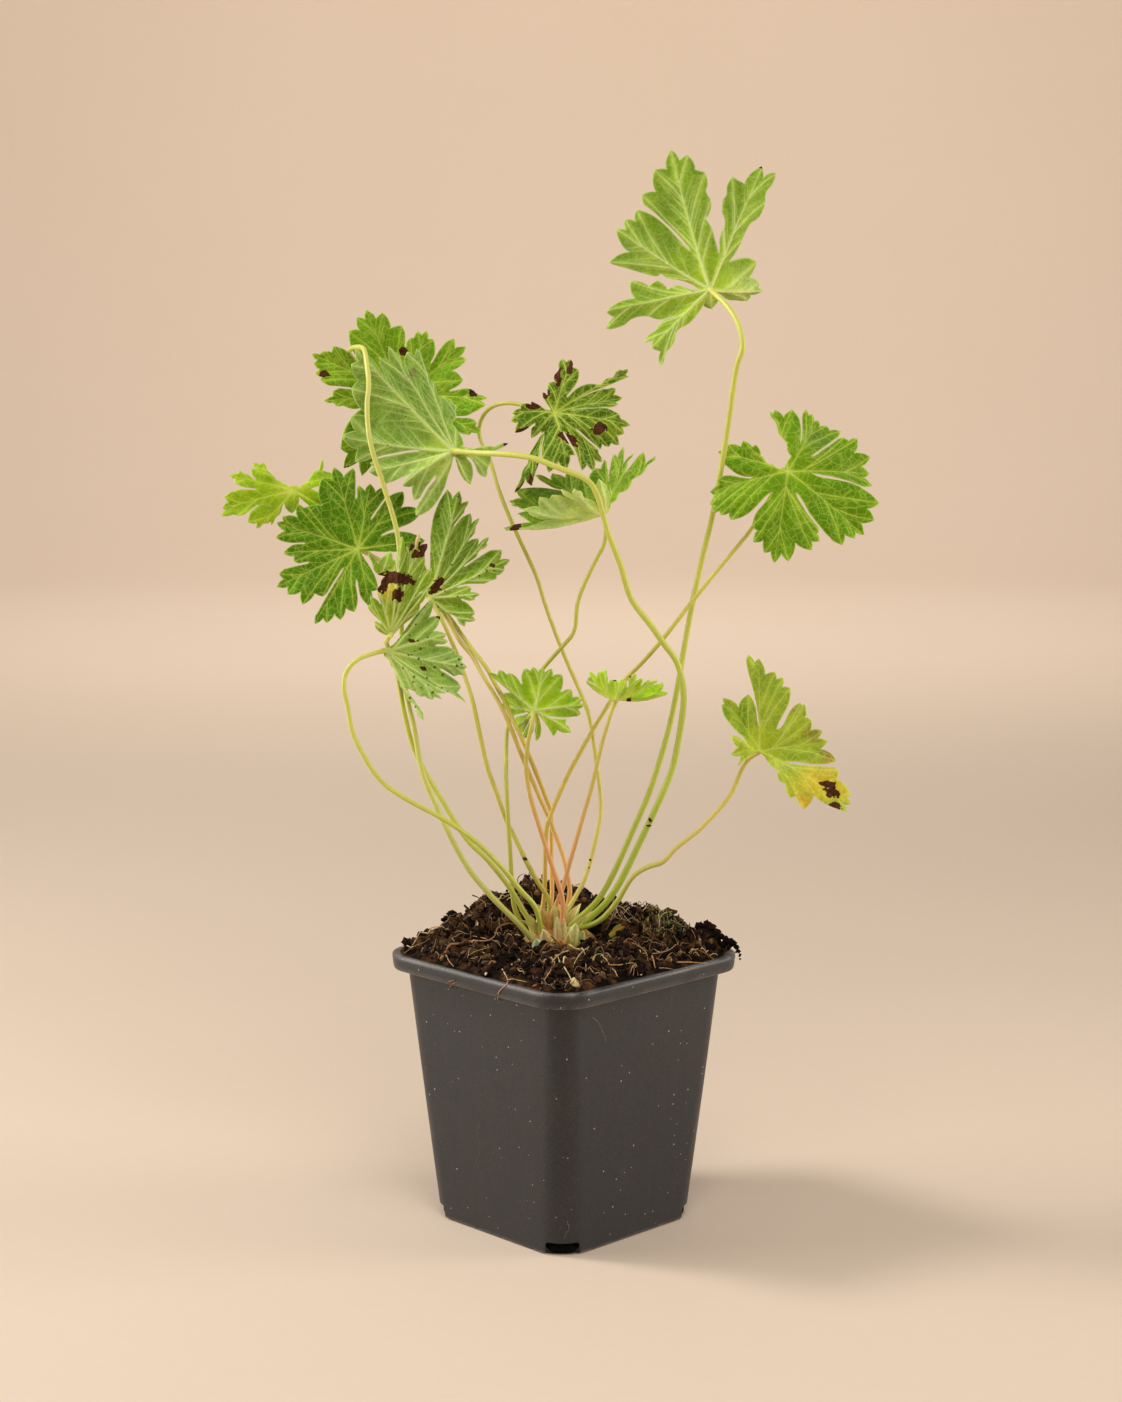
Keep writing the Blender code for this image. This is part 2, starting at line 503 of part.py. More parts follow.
def make_soil(group, cutters):
    """The root ball: it fills the pot and mounds above the rim, with a seat for the crown."""
    inset = (WALL + GAP) * WALL_SLANT
    floor = WALL + GAP
    rings = []
    for z, trim in ((floor, SOIL_BEVEL), (floor + SOIL_BEVEL, 0), (SOIL_EDGE_HEIGHT - SOIL_BEVEL, 0)):
        rings.append(rounded_square(wall_half(z) - inset - trim, wall_radius(z) - inset, z))
    edge_half = wall_half(SOIL_EDGE_HEIGHT) - inset - SOIL_BEVEL
    edge_radius = wall_radius(SOIL_EDGE_HEIGHT) - inset
    for k in range(SOIL_RINGS):
        share = 1 - k / SOIL_RINGS
        ring = rounded_square(edge_half * share, edge_radius * share, 0)
        rings.append([(x, y, soil_height(x, y)) for x, y, z in ring])
    vertices, faces = loft(rings, True, True)
    soil = mesh_object("soil", vertices, faces, material("peat", *PEAT_LOOK), group)
    bpy.ops.mesh.primitive_uv_sphere_add(
        segments=BALL_SEGMENTS, ring_count=BALL_RINGS, radius=1, location=CROWN_CENTRE)
    seat = make_cutter("crown_seat_cutter", cutters)
    seat.scale = CROWN_SIZE + Vector((SEAT_GAP, SEAT_GAP, SEAT_GAP))
    cut(soil, seat)
    return soil


def make_crown(group):
    bpy.ops.mesh.primitive_uv_sphere_add(
        segments=BALL_SEGMENTS, ring_count=BALL_RINGS, radius=1, location=CROWN_CENTRE)
    crown = bpy.context.active_object
    crown.name = "crown"
    crown.scale = CROWN_SIZE
    link_only(crown, group)
    crown.data.materials.append(material("bud_scale", *SCALE_LOOK))
    crown.data.shade_smooth()
    return crown


def unit(v):
    return v / np.maximum(np.linalg.norm(v, axis=-1, keepdims=True), 1e-12)


class Blade:
    """A palmate leaf: each lobe's midrib is an arc from the stalk's end to the lobe's tip.

    The blade is drawn flat, in polar places (radius, angle), and laid over its midribs.
    """

    def __init__(self, plan):
        self.plan = plan
        self.at = seen(*plan["at"])
        self.tips = np.array([seen(*one["tip"]) for one in plan["lobes"]])
        arms = self.tips - self.at
        self.length = np.linalg.norm(arms, axis=1)
        heads = unit(arms)
        turns = np.arccos(np.clip((heads[:-1] * heads[1:]).sum(1), -1, 1))
        turns = np.maximum(turns, LEAST_TURN)
        turns *= min(1.0, MOST_TURN / turns.sum())
        self.angle = np.concatenate([[0], np.cumsum(turns)])
        self.normal = unit(np.cross(heads[:-1], heads[1:]).sum(0))
        self.bows = np.array([one["bow"] for one in plan["lobes"]]) * MM

    def rib(self, k, radius):
        """Vectors from the stalk's end to the points of midrib k at those radii."""
        s = radius / self.length[k]
        arm = self.tips[k] - self.at
        rise = 4 * self.bows[k] * s * (1 - s)
        return s[:, None] * arm + rise[:, None] * self.normal

    def place(self, radius, angle):
        """The points of the bent blade for flat polar places."""
        radius = np.maximum(np.asarray(radius, float), TINY)
        angle = np.asarray(angle, float)
        ribs = np.stack([self.rib(k, radius) for k in range(len(self.length))])
        knots = self.angle
        slopes = np.empty_like(ribs)
        slopes[1:-1] = (ribs[2:] - ribs[:-2]) / (knots[2:] - knots[:-2])[:, None, None]
        slopes[0] = (ribs[1] - ribs[0]) / (knots[1] - knots[0])
        slopes[-1] = (ribs[-1] - ribs[-2]) / (knots[-1] - knots[-2])
        left = np.clip(np.searchsorted(knots, angle, side="right") - 1, 0, len(knots) - 2)
        rows = np.arange(len(radius))
        span = knots[left + 1] - knots[left]
        t = ((angle - knots[left]) / span)[:, None]
        a, b = ribs[left, rows], ribs[left + 1, rows]
        ma, mb = slopes[left, rows] * span[:, None], slopes[left + 1, rows] * span[:, None]
        inside = (2 * t**3 - 3 * t**2 + 1) * a + (t**3 - 2 * t**2 + t) * ma
        inside = inside + (3 * t**2 - 2 * t**3) * b + (t**3 - t**2) * mb
        before = a + ma * t
        after = b + mb * (t - 1)
        v = np.where(t < 0, before, np.where(t > 1, after, inside))
        tc = np.clip(t, 0, 1)
        size = np.linalg.norm(a, axis=1) * (1 - tc[:, 0]) + np.linalg.norm(b, axis=1) * tc[:, 0]
        return self.at + unit(v) * size[:, None]

    def flat(self, x, y, k, radius_share, turn):
        """The flat place, near lobe k, whose point the picture shows at pixel x, y."""
        scale = np.array([self.length[k], 1.0])
        rib = np.array([0.0, self.angle[k]])
        low = rib + scale * [PLACE_RADII[0], -PLACE_TURN]
        high = rib + scale * [PLACE_RADII[1], PLACE_TURN]
        here = rib + scale * [radius_share, turn]
        for step in range(SEARCH_STEPS):
            trial = np.array([here, here + [NUDGES[0], 0], here + [0, NUDGES[1]]])
            p = pixel(self.place(trial[:, 0], trial[:, 1]))
            slope = np.stack([(p[1] - p[0]) / NUDGES[0], (p[2] - p[0]) / NUDGES[1]], 1) * scale
            miss = np.array([x, y]) - p[0]
            move = np.linalg.solve(slope.T @ slope + np.eye(2) * SEARCH_DAMPING, slope.T @ miss)
            here = np.clip(here + SEARCH_STRIDE * move * scale, low, high)
        return here

    def teeth(self, k):
        """The flat places of lobe k's tip and teeth, in order round the lobe."""
        one = self.plan["lobes"][k]
        share, turn = TOOTH_GUESS
        places = [self.flat(x, y, k, share, -turn) for x, y in one["before"]]
        places.append(np.array([self.length[k], self.angle[k]]))
        return places + [self.flat(x, y, k, share, turn) for x, y in one["after"]]

    def divide(self, k, last_tooth, first_tooth):
        """The line between lobes k and k + 1: its radius and angle at the cleft, and its lean outwards."""
        shortest = min(self.length[k], self.length[k + 1])
        turn = self.angle[k + 1] - self.angle[k]
        radius = SINUS_DEPTH * shortest
        angle = self.angle[k] + turn / 2
        sinus = self.plan["lobes"][k]["sinus"]
        if sinus:
            found = self.flat(*sinus, k, SINUS_GUESS, turn / 2)
            radius = min(max(found[0], LEAST_SINUS * shortest), MOST_SINUS * shortest)
            angle = min(max(found[1], angle - SINUS_ROOM * turn), angle + SINUS_ROOM * turn)
        outer = max((last_tooth[0] + first_tooth[0]) / 2, radius * OUTER_LEAST)
        lean = ((last_tooth[1] + first_tooth[1]) / 2 - angle) / (outer - radius)
        return radius, angle, lean, outer

    def outline(self, pieces_long, pieces_short):
        """The blade's edge in flat x, y: from cleft to tooth to cleft, round every lobe."""
        count = len(self.length)
        teeth = [self.teeth(k) for k in range(count)]
        lines = [self.divide(k, teeth[k][-1], teeth[k + 1][0]) for k in range(count - 1)]
        spread = self.angle[-1] - self.angle[0]
        base = min(BASE_ANGLE, math.pi - spread / 2 - BASE_SLACK)
        lines.insert(0, (BASE_RADIUS, self.angle[0] - base, 0.0, BASE_RADIUS))
        lines.append((BASE_RADIUS, self.angle[-1] + base, 0.0, BASE_RADIUS))
        edge = []
        for k in range(count):
            path = self.lobe_edge(k, lines[k], teeth[k], lines[k + 1], pieces_long, pieces_short)
            edge += path if k == count - 1 else path[:-1]
        if spread < CLOSED_TURN:
            edge.append(to_flat((BASE_RADIUS / 2, (self.angle[0] + self.angle[-1]) / 2 + math.pi)))
        return np.array(edge)

    def lobe_edge(self, k, low_line, teeth, high_line, pieces_long, pieces_short):
        """The edge of lobe k, from the cleft before it round its teeth to the cleft after it."""
        rib = to_flat((1.0, self.angle[k]))
        hub = HUB_SHARE * self.length[k] * rib
        tips = [to_flat(place) for place in teeth]
        path = side_arc(to_flat(low_line), tips[0], rib, tips[0] - hub, -1, pieces_long)
        for a, b in zip(tips[:-1], tips[1:]):
            inward = hub - (a + b) / 2
            reach = np.linalg.norm(inward)
            square = abs((a - b) @ np.array([-inward[1], inward[0]])) / reach
            share = min(NOTCH_SHARE * square**2 / np.linalg.norm(a - b) / reach, DEEPEST_NOTCH)
            notch = (a + b) / 2 + inward * share
            path += tooth_arc(a, notch, a - hub, 1, pieces_short)
            path += tooth_arc(notch, b, b - hub, -1, pieces_short)
        path += side_arc(to_flat(high_line), tips[-1], rib, tips[-1] - hub, 1, pieces_long)[-2::-1]
        return [self.keep_between(p, low_line, high_line, k) for p in path]

    def unwrap(self, x, y):
        """Polar places of flat points, with angles counted from the first lobe."""
        middle = (self.angle[0] + self.angle[-1]) / 2
        angle = np.arctan2(y, x)
        angle = angle - 2 * math.pi * np.round((angle - middle) / (2 * math.pi))
        return np.hypot(x, y), angle

    def mesh(self, edge, inner):
        """Vertices and faces of the bent blade, from its flat edge and some points inside it."""
        flat = [Vector(p) for p in np.concatenate([edge, inner])]
        ring = [(k, (k + 1) % len(edge)) for k in range(len(edge))]
        points, _, faces, _, _, _ = delaunay_2d_cdt(flat, ring, [], 1, TINY)
        points = np.array([tuple(p) for p in points])
        used = sorted({k for face in faces for k in face})
        number = {k: n for n, k in enumerate(used)}
        faces = [tuple(number[k] for k in face) for face in faces]
        return self.place(*self.unwrap(points[used, 0], points[used, 1])), faces

    def keep_between(self, point, low_line, high_line, k):
        """Holds a lobe's edge between its own dividing lines, so that lobes never cross."""
        radius = math.hypot(*point)
        angle = math.atan2(point[1], point[0])
        angle += 2 * math.pi * round((self.angle[k] - angle) / (2 * math.pi))
        slack = LOBE_GAP / 2 / max(radius, TINY)
        for line, side in ((low_line, 1), (high_line, -1)):
            start, cleft_angle, lean, outer = line
            limit = cleft_angle + lean * max(0.0, min(radius, outer) - start)
            if radius > start * CLEFT_FOOT:
                limit += side * slack
            angle = side * max(side * angle, side * limit)
        return (radius * math.cos(angle), radius * math.sin(angle))


def to_flat(place):
    return np.array([place[0] * math.cos(place[1]), place[0] * math.sin(place[1])])


def bezier(p0, p1, p2, p3, pieces):
    t = np.linspace(0, 1, pieces + 1)[:, None]
    curve = (1 - t)**3 * p0 + 3 * t * (1 - t)**2 * p1 + 3 * t**2 * (1 - t) * p2 + t**3 * p3
    return [np.array(p) for p in curve]


def side_arc(cleft, tip, rib, axis, side, pieces):
    """The long edge from a cleft out to the nearest tooth: slim at first, then swelling."""
    span = tip - cleft
    size = np.linalg.norm(span)
    axis = axis / np.linalg.norm(axis)
    across = np.array([-axis[1], axis[0]]) * side
    low = cleft + rib * SIDE_LOW * size + across * SIDE_SPREAD * size
    high = tip - span * SIDE_HIGH + across * SIDE_SWELL * size
    return bezier(cleft, low, high, tip, pieces)


def tooth_arc(start, end, axis, side, pieces):
    """A tooth's edge between its tip and the notch beside it."""
    span = end - start
    size = np.linalg.norm(span)
    axis = axis / np.linalg.norm(axis)
    across = np.array([-axis[1], axis[0]]) * side
    bulge = across * TOOTH_SWELL * size
    first, second = NOTCH_PLACES
    return bezier(start, start + span * first + bulge, start + span * second + bulge, end, pieces)[1:]


def make_leaf(name, blade, group, mat):
    ribs = [np.zeros((1, 2))]
    for length, angle in zip(blade.length, blade.angle):
        ribs.append(np.array([to_flat((share * length, angle)) for share in RIB_SHARES]))
    vertices, faces = blade.mesh(blade.outline(2, 1), np.concatenate(ribs))
    leaf = mesh_object(name, vertices, faces, mat, group)
    skin = leaf.modifiers.new("blade", "SOLIDIFY")
    skin.thickness = BLADE
    skin.offset = 0
    return leaf


def smooth_curve(points):
    """A smooth curve through the points, as many closely spaced points."""
    points = np.array(points)
    padded = np.concatenate([[2 * points[0] - points[1]], points, [2 * points[-1] - points[-2]]])
    fine = []
    for k in range(len(points) - 1):
        a, b, c, d = padded[k:k + 4]
        for t in np.linspace(0, 1, CURVE_STEPS, endpoint=False):
            fine.append(0.5 * (2 * b + (c - a) * t + (2 * a - 5 * b + 4 * c - d) * t**2
                               + (3 * b - a - 3 * c + d) * t**3))
    fine = np.array(fine + [points[-1]])
    for step in range(SMOOTHINGS):
        fine[1:-1] = (fine[:-2] + 2 * fine[1:-1] + fine[2:]) / 4
    return fine


def few_points(fine, slack):
    """The same curve with fewer points: none left out lies further than slack from the chords."""
    ends = fine[-1] - fine[0]
    along = (fine - fine[0]) @ ends / (ends @ ends)
    off = np.linalg.norm(fine - fine[0] - np.clip(along, 0, 1)[:, None] * ends, axis=1)
    worst = int(off.argmax())
    if off[worst] < slack:
        return fine[[0, -1]]
    return np.concatenate([few_points(fine[:worst + 1], slack)[:-1], few_points(fine[worst:], slack)])


def stalk_route(plan, blade):
    """A stalk's middle line: from the crown's skin to just under its blade."""
    radius = plan["thick"] * MM / 2
    route = [seen(*place) for place in plan["route"]]
    foot = np.array(plan["foot"]) * MM
    size = np.array(CROWN_SIZE)
    rise = math.sqrt(1 - (foot[0] / size[0])**2 - (foot[1] / size[1])**2)
    skin = np.array([foot[0], foot[1], size[2] * rise])
    out = unit(skin / size**2)
    start = np.array(CROWN_CENTRE) + skin
    lean = unit(route[0] - start)
    sine = math.sqrt(max(0.0, 1 - float(lean @ out)**2))
    start = start + out * (GAP + radius * sine)
    ahead = unit(blade.at - route[-1])
    sine = math.sqrt(max(0.0, 1 - float(ahead @ blade.normal)**2))
    end = blade.at - blade.normal * (BLADE / 2 + STALK_GAP + radius * sine)
    return [start] + route + [end]


def make_stalk(name, plan, blade, group, mat):
    data = bpy.data.curves.new(name, "CURVE")
    data.dimensions = "3D"
    data.bevel_depth = plan["thick"] * MM / 2
    data.bevel_resolution = 2
    data.use_fill_caps = True
    data.materials.append(mat)
    points = few_points(smooth_curve(stalk_route(plan, blade)), STALK_SLACK)
    spline = data.splines.new("POLY")
    spline.points.add(len(points) - 1)
    for k, point in enumerate(points):
        spline.points[k].co = (*point, 1.0)
        spline.points[k].radius = FOOT_THICKNESS - TAPER * k / len(points)
    stalk = bpy.data.objects.new(name, data)
    group.objects.link(stalk)
    return stalk


def main():
    clear_scene()
    group = new_collection("hardy_geranium")
    cutters = new_collection("cutters")
    make_pot(group, notch_cutters(cutters))
    make_soil(group, cutters)
    make_crown(group)
    leaf_green = material("leaf_green", *LEAF_LOOK)
    stalk_green = material("stalk_green", *STALK_LOOK)
    for leaf_name, plan in LEAVES.items():
        blade = Blade(plan)
        stalk_name = leaf_name.replace("leaf", "stem")
        make_leaf(leaf_name, blade, group, leaf_green)
        make_stalk(stalk_name, STALKS[stalk_name], blade, group, stalk_green)


main()
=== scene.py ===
"""The looks of a hardy geranium in a square nursery pot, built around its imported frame.

Blades, stalks, crown, peat and pot each get a finer mesh in the place of their plain solids.
Stalks and leaves are placed by pixels of a 1122 x 1402 picture, each with its depth in millimetres.
"""

import math
import random

import bpy
import numpy as np
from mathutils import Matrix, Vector, noise
from mathutils.bvhtree import BVHTree
from mathutils.geometry import delaunay_2d_cdt


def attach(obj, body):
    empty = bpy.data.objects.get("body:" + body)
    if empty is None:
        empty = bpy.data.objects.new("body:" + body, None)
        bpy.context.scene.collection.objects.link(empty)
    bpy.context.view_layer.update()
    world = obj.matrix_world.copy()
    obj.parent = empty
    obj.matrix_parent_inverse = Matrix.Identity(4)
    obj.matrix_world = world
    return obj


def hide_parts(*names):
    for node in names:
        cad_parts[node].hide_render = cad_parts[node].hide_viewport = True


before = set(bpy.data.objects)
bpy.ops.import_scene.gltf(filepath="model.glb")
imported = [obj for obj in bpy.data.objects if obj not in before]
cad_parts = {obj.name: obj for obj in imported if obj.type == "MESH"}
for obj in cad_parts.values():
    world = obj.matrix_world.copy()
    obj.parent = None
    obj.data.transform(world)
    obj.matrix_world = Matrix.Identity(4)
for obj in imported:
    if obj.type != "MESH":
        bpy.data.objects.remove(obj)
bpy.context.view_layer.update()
# Without a seed of their own, the noise vectors that bend the peat's lumps change with each run
noise.seed_set(1)

MM = 0.001
GAP = 0.3 * MM

# The pot, as in the solids that it is built around
POT_TURN = math.radians(44.4)
POT_HEIGHT = 92 * MM
RIM_HALF = 45 * MM
RIM_RADIUS = 13 * MM
RIM_LEDGE = 5 * MM
RIM_SKIRT = 5.2 * MM
FOOT_HALF = 32.5 * MM
FOOT_RADIUS = 10 * MM
WALL = 1.0 * MM
NOTCH_WIDTH = 11 * MM
NOTCH_HEIGHT = 4.5 * MM
SOIL_EDGE_HEIGHT = 90.5 * MM
CROWN_CENTRE = Vector((-2.0, -0.5, 95.0)) * MM
CROWN_SIZE = Vector((14.0, 11.0, 7.0)) * MM

# The blades: turns between lobes, the base where the stalk ends, and the edge's clefts and notches
BLADE = 0.35 * MM
LEAST_TURN = math.radians(22)
MOST_TURN = math.radians(290)
CLOSED_TURN = math.radians(240)
BASE_ANGLE = math.radians(50)
BASE_SLACK = math.radians(4)
BASE_RADIUS = 1.6 * MM
SINUS_DEPTH = 0.36
LEAST_SINUS = 0.1
MOST_SINUS = 0.8
SINUS_ROOM = 0.4
LOBE_GAP = 0.5 * MM
HUB_SHARE = 0.42
NOTCH_SHARE = 0.55
DEEPEST_NOTCH = 0.36
SIDE_LOW = 0.32
SIDE_SPREAD = 0.06
SIDE_HIGH = 0.3
SIDE_SWELL = 0.22
TOOTH_SWELL = 0.16
NOTCH_PLACES = (0.3, 0.7)
OUTER_LEAST = 1.3
CLEFT_FOOT = 1.02
TINY = 1e-6
UPRIGHT = 1e-3

# The search for a pixel's flat place: first guesses, bounds, nudges, steps, stride and damping
TOOTH_GUESS = (0.8, 0.3)
SINUS_GUESS = 0.4
PLACE_RADII = (0.06, 1.12)
PLACE_TURN = 0.75
NUDGES = (1e-5, 1e-3)
SEARCH_STEPS = 25
SEARCH_STRIDE = 0.8
SEARCH_DAMPING = 40.0

# How smoothly the stalks run, and their sides
STALK_SIDES = 12
SMOOTHINGS = 8
CURVE_STEPS = 10

# The picture's camera
EYE = np.array([0.0, -0.850, 0.2972])
PITCH = 0.1400
YAW = -0.0011
FOCAL = 2576.0
CENTRE_X = 561.0
CENTRE_Y = 701.0
PICTURE_HEIGHT = 1402.0
SENSOR = 36.0
CLIP = (0.05, 50)
FORWARD = np.array([math.sin(YAW) * math.cos(PITCH), math.cos(YAW) * math.cos(PITCH),
                    -math.sin(PITCH)])
RIGHT = np.array([math.cos(YAW), -math.sin(YAW), 0.0])
UP = np.cross(RIGHT, FORWARD)


def ray(x, y):
    """The direction from the picture's camera through pixel x, y."""
    return FORWARD + RIGHT * (x - CENTRE_X) / FOCAL + UP * (CENTRE_Y - y) / FOCAL


def seen(x, y, depth):
    """The point that the picture shows at pixel x, y, that many millimetres behind the axis."""
    through = ray(x, y)
    return EYE + through * (depth * MM - EYE[1]) / through[1]


def pixel(points):
    """Where the picture shows these points."""
    v = points - EYE
    deep = v @ FORWARD
    across, down = FOCAL * (v @ RIGHT) / deep, FOCAL * (v @ UP) / deep
    return np.stack([CENTRE_X + across, CENTRE_Y - down], -1)


def lobe(x, y, depth, before=(), after=(), bow=1, sinus=None):
    """One lobe: its tip's pixel and depth, the teeth before and after the tip, and its arch in mm.

    Lobes run counter-clockwise seen from the upper side, and so do the teeth. A sinus is the
    pixel of the cleft that follows the lobe.
    """
    return dict(tip=(x, y, depth), before=before, after=after, bow=bow, sinus=sinus)


def srgb(r, g, b):
    """A linear colour from its 0 to 255 values on a screen."""
    out = []
    for value in (r, g, b):
        v = value / 255
        out.append(v / 12.92 if v <= 0.04045 else ((v + 0.055) / 1.055) ** 2.4)
    return tuple(out)


def blend(low, high, share):
    """A colour between low and high, for one share or a column of them."""
    return np.asarray(low) * (1 - share) + np.asarray(high) * share


